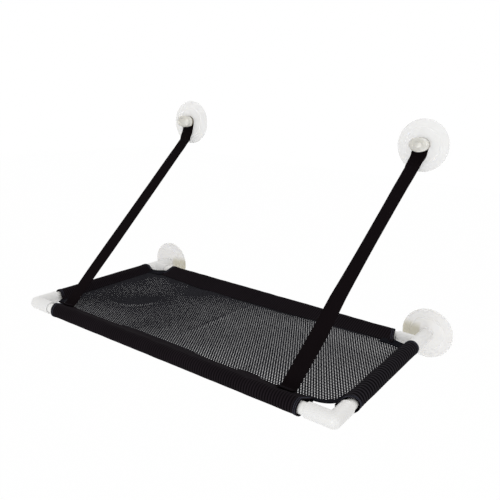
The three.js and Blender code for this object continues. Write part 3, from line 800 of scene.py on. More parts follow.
@dataclass(frozen=True)
class ClothFinish:
    """A dark cloth, tape, webbing or thread.

    Attributes:
        name: Name of the material.
        colour: Linear red, green and blue of the tops of its ribs, lighter than the valleys as a
            painted highlight; for the mesh, of its ridges, and for threads, their main colour.
        valley: Colour between its ribs, darker as painted shade; for the mesh, the lighter colour
            painted as light at the holes' rims, and for threads, the colour of their cloudy patches.
        rib_pitch: Distance from rib to rib, in metres.
        yarn_pitch: Distance between the yarns that cross a rib, in metres.
        depth: Depth of the weave, in metres.
        yarn_share: Height of the crossing yarns, as a share of the ribs' height.
        wander: How far the ribs wander, in metres.
        roughness: Roughness of its yarns.
        woven: Whether it has a weave along its cloth coordinates.
        crest: Power that narrows the painted highlight on the tops of its ribs.
        painted_rim_light: Whether its first cloth coordinate, over one millimetre, blends its two colours,
        which paints light at the mesh holes' rims.
    """

    name: str
    colour: Triple
    valley: Triple
    rib_pitch: float = 0.0012
    yarn_pitch: float = 0.0008
    depth: float = 0.00012
    yarn_share: float = 0.35
    wander: float = 0.0004
    roughness: float = 0.85
    woven: bool = True
    crest: float = 1.0
    painted_rim_light: bool = False

    def material(self, speckle: Tree, weave: Tree) -> Material:
        """Build the material.

        Its roughness is the yarns' own less 0.1, plus 0.2 times the cloudy patches.

        Args:
            speckle: The speckle group.
            weave: The woven rib group.

        Returns:
            The material.
        """
        material, nodes, shader = principled(self.name)
        place = nodes.add("TexCoord").outputs["Object"]
        marks = nodes.add("Group", {
            "Vector": place, "Grain": 1400.0, "Cloud": 22.0, "Strength": 0.5,
        }, node_tree=speckle).outputs
        height, share = marks["Height"], marks["Patches"]
        if self.woven:
            ribs = nodes.add("Group", {
                "Vector": nodes.cloth(),
                "Rib Pitch": self.rib_pitch,
                "Yarn Pitch": self.yarn_pitch,
                "Yarn Share": self.yarn_share,
                "Wander": self.wander,
            }, node_tree=weave).outputs
            # Painted light: the ribs' tops take the lighter colour as a highlight and their valleys the
            # darker one as shade.
            crest = nodes.math("POWER", nodes.math("SUBTRACT", 1.0, ribs["Valley"]), self.crest)
            height, share = ribs["Height"], nodes.math("SUBTRACT", 1.0, crest)
        # Painted light: on the mesh, the yarn lightens towards each hole's rim, where the holes' walls
        # would catch light.
        elif self.painted_rim_light:
            share = nodes.math("MULTIPLY", nodes.split(nodes.cloth())[0], 1 / MILLIMETRE)
        colour = nodes.blend(share, self.colour, self.valley)
        relief = nodes.add("Bump", {"Distance": self.depth, "Height": height})
        rough = nodes.math("MULTIPLY", marks["Patches"], 0.2)
        nodes.fill(shader, {
            "Base Color": nodes.blend(1.0, colour, marks["Shade"], "MULTIPLY"),
            "Normal": relief.outputs["Normal"],
            "Roughness": nodes.math("ADD", rough, self.roughness - 0.1),
            "IOR": 1.2,
            "Specular IOR Level": 0.1,
        })
        return material


class Finish(Enum):
    """Every finish of the perch."""

    TUBE = PlasticFinish("tube plastic", (0.88, 0.885, 0.89), (0.84, 0.84, 0.83), 0.28)
    FITTING = PlasticFinish(
        "fitting plastic", (0.84, 0.84, 0.845), (0.8, 0.8, 0.805), 0.3,
        grain=0.00005, subsurface=0.12,
    )
    CLEAR_CUP = PlasticFinish(
        "clear cup", (0.94, 0.94, 0.945), (0.91, 0.91, 0.91), 0.42, ior=1.4,
        transmission=0.35, grain=0.00002, subsurface=0.2, specular=0.2,
        thin_radius=0.0365, clear_share=0.45, head_station=-0.0092,
    )
    # The milky cups' rail tint is a painted shadow of the rear rail on their discs.
    MILKY_CUP = PlasticFinish(
        "milky cup", (0.94, 0.935, 0.94), (0.91, 0.9, 0.9), 0.5, ior=1.4,
        transmission=0.05, grain=0.00002, subsurface=0.3, specular=0.15,
        thin_radius=0.037, clear_share=0.4, rail_shadow_tint=(0.61, 0.575, 0.45),
    )
    # Woven cloths below: their lighter rib tops are painted highlight and their darker valleys painted
    # shade.
    SLEEVE = ClothFinish(
        "sleeve cloth", (0.014, 0.0108, 0.0136), (0.002, 0.0014, 0.002),
        rib_pitch=0.0039, yarn_pitch=0.002, crest=1.5,
    )
    # A lighter copy of the sleeve cloth for the right sleeve alone; its brighter rib tops are painted
    # light.
    LIT_SIDE_SLEEVE = ClothFinish(
        "lit side sleeve cloth", (0.024, 0.0215, 0.0265), (0.0014, 0.001, 0.0016),
        rib_pitch=0.0065, yarn_pitch=0.0016, crest=3.0,
    )
    # Mesh yarn: dark on its ridges, lighter at the holes' rims as painted light.
    MESH = ClothFinish(
        "mesh yarn", (0.008, 0.008, 0.011), (0.05, 0.05, 0.058), woven=False, painted_rim_light=True,
    )
    BINDING = ClothFinish("binding tape", (0.01, 0.01, 0.014), (0.004, 0.004, 0.006), rib_pitch=0.0009)
    WEBBING = ClothFinish(
        "webbing", (0.0078, 0.0053, 0.0064), (0.003, 0.002, 0.0026),
        rib_pitch=0.0014, yarn_pitch=0.0011, depth=0.0002,
    )
    THREAD = ClothFinish("sewing thread", (0.02, 0.018, 0.024), (0.012, 0.01, 0.014), woven=False)
    HEM_THREAD = ClothFinish("hem thread", (0.08, 0.085, 0.115), (0.05, 0.054, 0.075), woven=False)


class Paint:
    """Builds each finish's material once and hands it out."""

    def __init__(self) -> None:
        """Make the groups that the materials share."""
        self.speckle = speckle_group()
        self.weave = weave_group()
        self.made: dict[Finish, Material] = {}

    def of(self, finish: Finish) -> Material:
        """Return the material of a finish."""
        if finish not in self.made:
            value = finish.value
            groups = (self.speckle,) if isinstance(value, PlasticFinish) else (self.speckle, self.weave)
            self.made[finish] = value.material(*groups)
        return self.made[finish]


# Sizes


@dataclass(frozen=True)
class FrameSizes:
    """Places and radii that the sub-assemblies share, in millimetres, as in the CAD source."""

    side_x: float = 270.0
    rear_y: float = -47.3
    front_y: float = -320.3
    tube_radius: float = 8.0
    tube_wall: float = 1.5
    fitting_radius: float = 10.0
    socket_radius: float = 8.3
    passage_radius: float = 6.2
    fitting_stop: float = 13.0
    elbow_reach: float = 35.0
    tee_branch_reach: float = 30.0
    tee_run_reach: float = 37.8
    mouth_round: float = 0.8
    mouth_collar: float = 2.4
    lead_in: float = 0.45
    lead_depth: float = 0.5
    socket_land: float = 6.0
    stop_fillet: Pair = (0.3, 0.4)
    tube_gap: float = 0.3
    upper_cup_x: float = 224.5
    upper_cup_z: float = 286.8
    sleeve_radius: float = 11.0
    front_seam_reach: float = 29.3
    rear_seam_reach: float = 32.7
    side_seam_reach: float = 15.0
    seam_drop: float = 2.0
    mesh_tuck: float = 4.0

    @property
    def middle_y(self) -> float:
        """Middle of the side rails."""
        return (self.front_y + self.rear_y) / 2

    @property
    def front_seam_y(self) -> float:
        """The front sleeve's seam."""
        return self.front_y + self.front_seam_reach

    @property
    def rear_seam_y(self) -> float:
        """The rear sleeve's seam."""
        return self.rear_y - self.rear_seam_reach

    @property
    def side_seam_x(self) -> float:
        """The right-hand side sleeve's seam."""
        return self.side_x - self.side_seam_reach


SIZES = FrameSizes()


# Wavy seams. Each row is a station along the front or the rear rail and how far the seam lies from
# its straight line there, counted towards the glass.
FRONT_WAVE = np.array([
    [-235, 2.0], [-205, -1.0], [-174, -3.0], [-136, -2.4], [-103, -1.2], [-78, 2.6], [-50, 2.6],
    [-8, 2.0], [38, 1.0], [70, -2.2], [107, -1.4], [118, -1.2], [127, 6.0], [136, 3.6], [155, 0.0],
    [170, -3.0], [203, -2.4], [232, 2.0],
])
REAR_WAVE = np.array([
    [-238, 8.0], [-217, 7.0], [-192, 3.2], [-164, 1.4], [-140, -2.6], [-121, -4.4], [-95, 0.0],
    [-47, -1.8], [9, 0.6], [58, 1.2], [83, 4.2], [109, 8.6], [139, 9.0], [178, 10.4], [212, 12.0],
    [238, 12.0],
])
WAVE_LIFT_SHARE = 0.24
WAVE_SLIDE_SHARE = 0.4


def wave_at(wave: Points, station: Points) -> Points:
    """Offset of a wavy seam at some stations, as a running mean of the straight lines through it."""
    offsets = np.linspace(-7, 7, 9)
    return np.mean([np.interp(station + off, wave[:, 0], wave[:, 1]) for off in offsets], axis=0)


@dataclass(frozen=True)
class BedSurface:
    """Middle surface of the stretched mesh.

    It sags by a share of the product of two parabolas, squared, dips a little more at its left
    end, carries two soft folds and two sharper creases, and follows the wavy seams at its front
    and rear edges.
    """

    half_width: float = 257.2
    front: float = -293.2
    rear: float = -77.8
    sag: float = 2.4
    fold: float = 0.35
    fold_width: float = 26.0
    crease: float = 0.8
    crease_width: float = 4.5
    arc_place: Pair = (-188.0, 3.0)
    arc_radius: float = 47.0
    slant_place: Pair = (-14.0, 12.0)
    slant_length: float = 170.0
    slant_turn: float = 88.0
    slant_share: float = 0.5
    dip: float = 2.5
    dip_place: Pair = (-190.0, 18.0)
    dip_width: float = 55.0
    edge_width: float = 55.0
    side_holds: Pair = (2.0, 28.0)
    ripple_height: float = 0.12
    ripple_length: float = 70.0
    front_left_round: float = 16.0
    front_right_round: float = 30.0

    @property
    def middle_y(self) -> float:
        """Middle of the bed."""
        return (self.front + self.rear) / 2

    def ridges(self, x: Points, y: Points, width: float) -> Points:
        """Share of a fold at each place, round the arc and along the slanted line.

        Args:
            x: Places along the glass, from the bed's middle.
            y: Places towards the glass, from the bed's middle.
            width: Distance over which the fold falls to 1/e.

        Returns:
            The share, from 0 to about 1.
        """
        off_x, off_y = x - self.arc_place[0], y - self.arc_place[1]
        round_arc = bump(np.hypot(off_x, off_y), self.arc_radius, width)
        round_arc = round_arc * np.clip((0.6 * off_x - 0.8 * off_y) / self.arc_radius, 0, 1)
        cos, sin = math.cos(math.radians(self.slant_turn)), math.sin(math.radians(self.slant_turn))
        off_x, off_y = x - self.slant_place[0], y - self.slant_place[1]
        along, across = off_x * cos + off_y * sin, off_y * cos - off_x * sin
        slant = bump(across, 0, width) * bump(along, 0, self.slant_length / 2)
        return round_arc + self.slant_share * slant

    def height(self, x: Points, y: Points) -> Points:
        """Height of the bed's middle surface.

        Args:
            x: Places along the glass.
            y: Places towards the glass.

        Returns:
            The height at each place.
        """
        middle_y = self.middle_y
        across = x / self.half_width
        along = (y - middle_y) / ((self.rear - self.front) / 2)
        hold = np.clip(1 - across**2, 0, 1) * np.clip(1 - along**2, 0, 1)
        soft = self.fold * self.ridges(x, y - middle_y, self.fold_width)
        sharp = self.crease * self.ridges(x, y - middle_y, self.crease_width)
        near_front = 1 - smooth_step(y, self.front, self.front + self.edge_width)
        near_rear = smooth_step(y, self.rear - self.edge_width, self.rear)
        waves = near_front * wave_at(FRONT_WAVE, x) + near_rear * wave_at(REAR_WAVE, x)
        free, held = (self.half_width - reach for reach in self.side_holds)
        lift = WAVE_LIFT_SHARE * waves * smooth_step(np.abs(x), free, held)
        ripples = self.ripple_height * ripple(x, y, self.ripple_length, 11) * hold
        far = np.hypot(x - self.dip_place[0], y - middle_y - self.dip_place[1])
        dip = self.dip * bump(far, 0, self.dip_width) * np.sqrt(hold)
        return -SIZES.seam_drop - hold**2 * (self.sag - soft) - dip + hold * sharp + lift + ripples


BED = BedSurface()


# Fittings and tubes


def arm_ring(angles: Points, station: float, radius: float, along_x: bool) -> Points:
    """A ring of an arm: radius times cos and sin of the angle, at a station along X or Y."""
    across, up = radius * np.cos(angles), radius * np.sin(angles)
    level = np.full_like(angles, station)
    return np.stack([level, across, up] if along_x else [across, level, up], axis=-1)


def corner_rows(angles: Points, radius: float, inner_round: float, steps: int) -> Points:
    """Rows of an elbow's skin round its corner, from the arm along X to the arm along Y.

    The line of the skin at an angle runs at the offset c = radius cos(angle) on both arms. Where c
    is negative it turns round the corner's centre at the radius -c, which makes a ball outside.
    Where c is positive it turns in a fillet of the inner round times c over the radius. With k = c
    plus that turning radius, its points are k minus the radius times sin and cos of the turn.

    Args:
        angles: Angles of the skin's lines about the arm, 0 being the inner side.
        radius: Radius of the arms.
        inner_round: Fillet radius at the innermost line.
        steps: Number of steps of the turn.

    Returns:
        Rows by lines by x, y, z.
    """
    offset = radius * np.cos(angles)
    turning = np.where(offset < 0, -offset, inner_round * offset / radius)
    centre = offset + turning
    turn = np.linspace(0, np.pi / 2, steps + 1)[:, None]
    up = np.broadcast_to(radius * np.sin(angles), (steps + 1, len(angles)))
    return np.stack([centre - turning * np.sin(turn), centre - turning * np.cos(turn), up], axis=-1)


def mouth_profile(reach: float) -> Points:
    """Stations and radii from an arm's outer skin over its rounded lip and down the socket."""
    outer, edge, socket = SIZES.fitting_radius, SIZES.mouth_round, SIZES.socket_radius
    lip = arc((reach - edge, outer - edge), edge, 90, 0, 5)
    lead = [[reach, socket + SIZES.lead_in], [reach - SIZES.lead_depth, socket]]
    stop, (along, inwards) = SIZES.fitting_stop, SIZES.stop_fillet
    end = [[stop + along, socket], [stop, socket - inwards], [stop, SIZES.passage_radius]]
    land = [[reach - SIZES.socket_land, socket]]
    return np.concatenate([[[reach - SIZES.mouth_collar, outer]], lip, lead, land, end])


@dataclass
class Fittings:
    """The four tubes, the two elbows and the two tees."""

    sides: int = 72
    corner_steps: int = 18
    run_rows: int = 9
    inner_round: float = 0.9
    tube_edge: float = 0.4

    def elbow(self) -> Shell:
        """An elbow with arms along +X and +Y, as one closed band of rings.

        The rings run round the outer corner, over one lip into its socket, back round the inner
        corner and out over the other lip.

        Returns:
            The elbow with its corner at the origin.
        """
        angles = (np.arange(self.sides) + 0.5) * 2 * np.pi / self.sides
        mouth = mouth_profile(SIZES.elbow_reach)
        to_y = [arm_ring(angles, station, radius, False) for station, radius in mouth]
        from_x = [arm_ring(angles, station, radius, True) for station, radius in mouth[::-1]]
        outer = corner_rows(angles, SIZES.fitting_radius, self.inner_round, self.corner_steps)
        inner = corner_rows(angles, SIZES.passage_radius, self.inner_round, self.corner_steps)[::-1]
        rings = np.concatenate([outer, to_y, inner, from_x])
        return Shell(rings.reshape(-1, 3), [grid_faces(len(rings), self.sides, True, True)])

    def tee(self) -> Shell:
        """A tee with its run along Y and its branch along +X.

        Its outer and inner skins are each a straight half of the run, and two halves of elbows
        that meet along the branch. Lips join the skins at the three mouths.

        Returns:
            The tee with its centre at the origin.
        """
        half = self.sides // 2
        front = np.linspace(-np.pi / 2, np.pi / 2, half + 1)
        back = np.linspace(np.pi / 2, 3 * np.pi / 2, half + 1)
        full = np.concatenate([front, back[1:]])
        run = mouth_profile(SIZES.tee_run_reach)
        branch = mouth_profile(SIZES.tee_branch_reach)
        patches: list[Points] = []
        for radius, ends in ((SIZES.fitting_radius, 0), (SIZES.passage_radius, -1)):
            run_end, branch_end = run[ends, 0], branch[ends, 0]
            corner = corner_rows(front, radius, self.inner_round, self.corner_steps)
            strip = np.concatenate([
                [arm_ring(front, branch_end, radius, True)],
                corner,
                [arm_ring(front, run_end, radius, False)],
            ])
            mirrored = (strip * FLIP_Y)[::-1]
            stations = np.linspace(-run_end, run_end, self.run_rows)
            straight = np.array([arm_ring(back, station, radius, False) for station in stations])
            skins = [strip, mirrored, straight]
            patches += skins if ends == 0 else [skin[::-1] for skin in skins]
        run_mouth = np.array([arm_ring(full, station, radius, False) for station, radius in run])
        patches += [run_mouth, (run_mouth * FLIP_Y)[::-1]]
        branch_mouth = np.array([arm_ring(full, station, radius, True) for station, radius in branch])
        patches.append(branch_mouth[::-1])
        return welded(merged([grid_shell(patch) for patch in patches]))

    def tube(self, length: float) -> Shell:
        """A tube along Y with eased ends, centred on the origin."""
        outer, half, edge = SIZES.tube_radius, length / 2, self.tube_edge
        bore = outer - SIZES.tube_wall
        profile = np.array([
            [bore, -half + edge], [bore + edge, -half], [outer - edge, -half], [outer, -half + edge],
            [outer, half - edge], [outer - edge, half], [bore + edge, half], [bore, half - edge],
        ])
        return revolved(profile, self.sides)

    def build(self, paint: Paint) -> None:
        """Make the tubes, the elbows and the tees."""
        setback = SIZES.fitting_stop + SIZES.tube_gap
        cross = self.tube(2 * (SIZES.side_x - setback))
        deep = self.tube(SIZES.rear_y - SIZES.front_y - 2 * setback)
        elbow, tee = self.elbow(), self.tee()
        left, right, front, middle, rear = (
            -SIZES.side_x, SIZES.side_x, SIZES.front_y, SIZES.middle_y, SIZES.rear_y,
        )
        tubes = {
            "front_tube": (cross, 90, 0, front), "rear_tube": (cross, 90, 0, rear),
            "left_side_tube": (deep, 0, left, middle), "right_side_tube": (deep, 0, right, middle),
        }
        fittings = {
            "front_left_elbow": (elbow, 0, left, front), "front_right_elbow": (elbow, 90, right, front),
            "rear_left_tee": (tee, 0, left, rear), "rear_right_tee": (tee, 180, right, rear),
        }
        for kind, slot, finish, parts in (
            ("plastic", "tube", Finish.TUBE, tubes), ("moulding", "fitting", Finish.FITTING, fittings),
        ):
            for node, (shell, turn, x, y) in parts.items():
                moved = shell.moved(turn, (x, y, 0))
                make_piece(f"{node}_{kind}", moved, paint.of(finish), slot, "frame", (node,))


# Suction cups


@dataclass
class Cups:
    """The four suction cups, each a moulding turned about its own axis."""

    sides: int = 128
    radius: float = 40.0
    upper_radius: float = 39.0
    seal: float = 8.0
    seal_edge: float = 0.4
    hollow: float = 2.2
    lip: float = 0.5
    shoulder: float = 25.5
    shoulder_height: float = 4.4
    dome_fall: float = 0.5
    step_line: tuple[Pair, ...] = ((0.9, 0.1), (0.9, 0.9), (1.8, 0.95))
    skirt_line: tuple[Pair, ...] = ((32.0, 3.0), (36.0, 1.6))
    dome: float = 6.0
    neck: float = 5.5
    neck_length: float = 3.8
    neck_round: float = 0.5
    head: float = 13.9
    head_height_share: float = 0.75
    head_lift: float = 1.9
    head_length: float = 16.4
    head_round: float = 3.2
    heel_round: float = 1.6
    dimple_line: tuple[Pair, ...] = ((0.0, 1.2), (4.8, 1.2), (6.3, 1.05), (7.15, 0.25), (7.8, 0.0))
    squash_stations: Pair = (0.7, 3.0)
    squash_radii: Pair = (6.5, 10.0)
    boss: float = 11.0
    boss_height: float = 9.2
    boss_round: float = 0.8
    stem: float = 8.0
    stem_end: float = -34.0
    stem_nose: float = 1.5

    def face(self, boss: float, height: float, rim: float) -> Points:
        """Profile from a boss over the dome, shoulder and skirt to the lip and under the hollow.

        Cubic curves run from the boss to the shoulder, over its step and down the skirt, and the
        hollow is a sine.

        Args:
            boss: Radius where the dome starts.
            height: Height of the dome there.
            rim: Radius of the lip.

        Returns:
            Rows of radius and station, the station being negative away from the glass.
        """
        edge, top, lip = self.shoulder, -self.shoulder_height, self.lip
        run = (edge - boss) / 3
        fall = top - self.dome_fall
        dome = bezier([[boss, -height], [boss + run, -height], [edge - run, fall], [edge, top]], 14)
        step = bezier([[edge, top], *([edge + out, top + rise] for out, rise in self.step_line)], 6)
        bends = ([radius, -depth] for radius, depth in self.skirt_line)
        skirt = bezier([step[-1], *bends, [rim - lip, -2 * lip]], 10)
        corner = arc((rim - lip, -lip), lip, -90, 0, 4)
        inner = rim - self.seal
        t = np.linspace(0, 1, 12)[1:]
        under = np.stack([inner * (1 - t), -self.hollow * np.sin(t * np.pi / 2)], axis=-1)
        flat = [[rim - self.seal_edge, 0.0], [inner, 0.0]]
        return np.concatenate([dome, step[1:], skirt[1:], corner[1:], flat, under])

    def upper(self) -> Shell:
        """Upper cup: a dimpled head, the neck that the strap's hole holds, and the cup.

        The head is flattened to a share of its height and lifted a little, its neck left round.

        Returns:
            The cup with its axis along Y through the origin.
        """
        back = -self.dome - self.neck_length
        front = back - self.head_length
        dimple = [[radius, front + depth] for radius, depth in self.dimple_line]
        edge = arc((self.head - self.head_round, front + self.head_round), self.head_round, -90, 0, 8)
        heel = arc((self.head - self.heel_round, back - self.heel_round), self.heel_round, 0, 90, 5)
        bend = self.neck_round
        throat = arc((self.neck + bend, back + bend), bend, -90, -180, 3)
        foot = arc((self.neck + bend, -self.dome - bend), bend, 180, 90, 3)
        face = self.face(self.neck + bend, self.dome, self.upper_radius)[1:]
        cup = revolved(np.concatenate([dimple, edge, heel, throat, foot, face]), self.sides)
        radius, station = cup.cloth.T
        near, far = self.squash_stations
        share = smooth_step(-station, near - back, far - back)
        wide = smooth_step(radius, *self.squash_radii) * (station < back + 0.1)
        share = np.maximum(share, wide)
        cup.points[:, 2] *= 1 - (1 - self.head_height_share) * share
        cup.points[:, 2] += self.head_lift * share
        return cup

    def lower(self) -> Shell:
        """Lower cup: a stem that plugs into the tee, a flat boss and the cup."""
        nose, bend = self.stem_nose, self.boss_round
        profile = np.concatenate([
            [[0.0, self.stem_end], [self.stem - nose, self.stem_end]],
            [[self.stem, self.stem_end + nose], [self.stem, -self.boss_height]],
            arc((self.boss - bend, -self.boss_height + bend), bend, -90, 0, 4),
            self.face(self.boss, self.boss_height - 2 * bend, self.radius),
        ])
        return revolved(profile, self.sides)

    def build(self, paint: Paint) -> None:
        """Make the four cups."""
        kinds = (
            ("upper", self.upper(), Finish.CLEAR_CUP, "clear_cup", SIZES.upper_cup_x, SIZES.upper_cup_z),
            ("lower", self.lower(), Finish.MILKY_CUP, "milky_cup", SIZES.side_x, 0),
        )
        for side, sign in (("left", -1), ("right", 1)):
            for kind, shell, finish, slot, x, z in kinds:
                node, body = f"{kind}_{side}_cup", f"{kind}_{side}_suction_cup"
                cup = shell.moved(0, (sign * x, 0, z))
                make_piece(f"{node}_moulding", cup, paint.of(finish), slot, body, (node,))


# Bed


@dataclass
class MeshNet:
    """The bed's open mesh: holes in staggered rows, with a thread round each hole.

    A hole's cell is the hexagon of places nearer to it than to any other hole. The hole is that
    hexagon at one scale along the slanted rows and at a smaller one across them, and the threads
    rise from its edge to a ridge on the cell's edge, above and below.
    """

    pitch_x: float = 3.906
    pitch_y: float = 3.571
    hole_along: float = 0.92
    hole_across: float = 0.24
    ridge: float = 0.72
    left_ridge: float = 0.785
    left_stations: Pair = (60.0, -110.0)
    columns: int = 70
    rows: int = 35
    corner_lap: float = 1.8
    weld: float = 0.02

    def inside(self, x: Points, y: Points) -> Points:
        """Find the places inside the bed's outline, with its two rounded front corners.

        Args:
            x: Places along the glass.
            y: Places towards the glass.

        Returns:
            Whether each place is inside.
        """
        left, right = -SIZES.side_seam_x - SIZES.mesh_tuck, SIZES.side_seam_x + SIZES.mesh_tuck
        front = SIZES.front_seam_y - SIZES.mesh_tuck + WAVE_SLIDE_SHARE * wave_at(FRONT_WAVE, x)
        rear = SIZES.rear_seam_y + SIZES.mesh_tuck + WAVE_SLIDE_SHARE * wave_at(REAR_WAVE, x)
        kept = (x > left) & (x < right) & (y > front) & (y < rear)
        for sign, radius in ((-1.0, BED.front_left_round), (1.0, BED.front_right_round)):
            off_x, off_y = sign * x - (BED.half_width - radius), BED.front + radius - y
            beyond = np.hypot(off_x, off_y) > radius - self.corner_lap
            kept &= ~((off_x > 0) & (off_y > 0) & beyond)
        return kept

    def shell(self) -> Shell:
        """Work out the net.

        Returns:
            A closed shell with 24 triangles for each hole, whose first cloth coordinate is 0 on
            the ridges and 1 at the holes.
        """
        columns = np.arange(-self.columns, self.columns + 1)
        row, column = np.meshgrid(np.arange(-self.rows, self.rows + 1), columns, indexing="ij")
        x = ((column + 0.5 * (row % 2)) * self.pitch_x).ravel()
        y = (BED.middle_y + row * self.pitch_y).ravel()
        kept = self.inside(x, y)
        centres = np.stack([x[kept], y[kept]], axis=-1)
        near = self.pitch_x**2 / (8 * self.pitch_y)
        half_x, half_y = self.pitch_x / 2, self.pitch_y / 2
        cell = np.array([
            [half_x, half_y - near], [0, half_y + near], [-half_x, half_y - near],
            [-half_x, near - half_y], [0, -half_y - near], [half_x, near - half_y],
        ])
        slant = unit(np.array([-half_x, self.pitch_y]))
        squeeze = self.hole_across * np.eye(2)
        squeeze = squeeze + (self.hole_along - self.hole_across) * np.outer(slant, slant)
        holes = centres[:, None] + cell @ squeeze
        joints = centres[:, None] + cell
        keys = np.round(joints.reshape(-1, 2) / self.weld).astype(np.int64)
        _, first, number = np.unique(keys, axis=0, return_index=True, return_inverse=True)
        number = number.reshape(-1, 6)
        places = joints.reshape(-1, 2)[first]
        count, hole_count = len(places), holes.shape[0] * 6
        towards_left = smooth_step(places[:, 0], *self.left_stations)
        ridge = self.ridge + (self.left_ridge - self.ridge) * towards_left
        level = BED.height(places[:, 0], places[:, 1])
        top, bottom = np.column_stack([places, level + ridge]), np.column_stack([places, level - ridge])
        rim = holes.reshape(-1, 2)
        rim = np.column_stack([rim, BED.height(rim[:, 0], rim[:, 1])])
        points = np.concatenate([rim, top, bottom])
        # Share of the lighter colour that the mesh yarn paints as light at the holes' rims: 1 at the holes,
        # 0 on the ridges.
        tone = np.zeros((len(points), 2))
        tone[:hole_count, 0] = 1.0
        hole = np.arange(hole_count).reshape(-1, 6)
        upper, lower = number + hole_count, number + hole_count + count
        hole_next, upper_next, lower_next = (np.roll(a, -1, axis=1) for a in (hole, upper, lower))
        over = np.stack([hole, upper, upper_next, hole_next], axis=-1).reshape(-1, 4)
        under = np.stack([hole_next, lower_next, lower, hole], axis=-1).reshape(-1, 4)
        edges = np.stack([number, np.roll(number, -1, axis=1)], axis=-1).reshape(-1, 2)
        single = ~np.isin(edges[:, 0] * count + edges[:, 1], edges[:, 1] * count + edges[:, 0])
        start, end = edges[single].T + hole_count
        wall = np.stack([end, start, start + count, end + count], axis=-1)
        return Shell(points, [over, under, wall], tone)

    def build(self, paint: Paint) -> None:
        piece = make_piece(
            "mesh_net", self.shell(), paint.of(Finish.MESH), "mesh_cloth", "frame", ("mesh_panel",),
            sharp_degrees=180.0,
        )


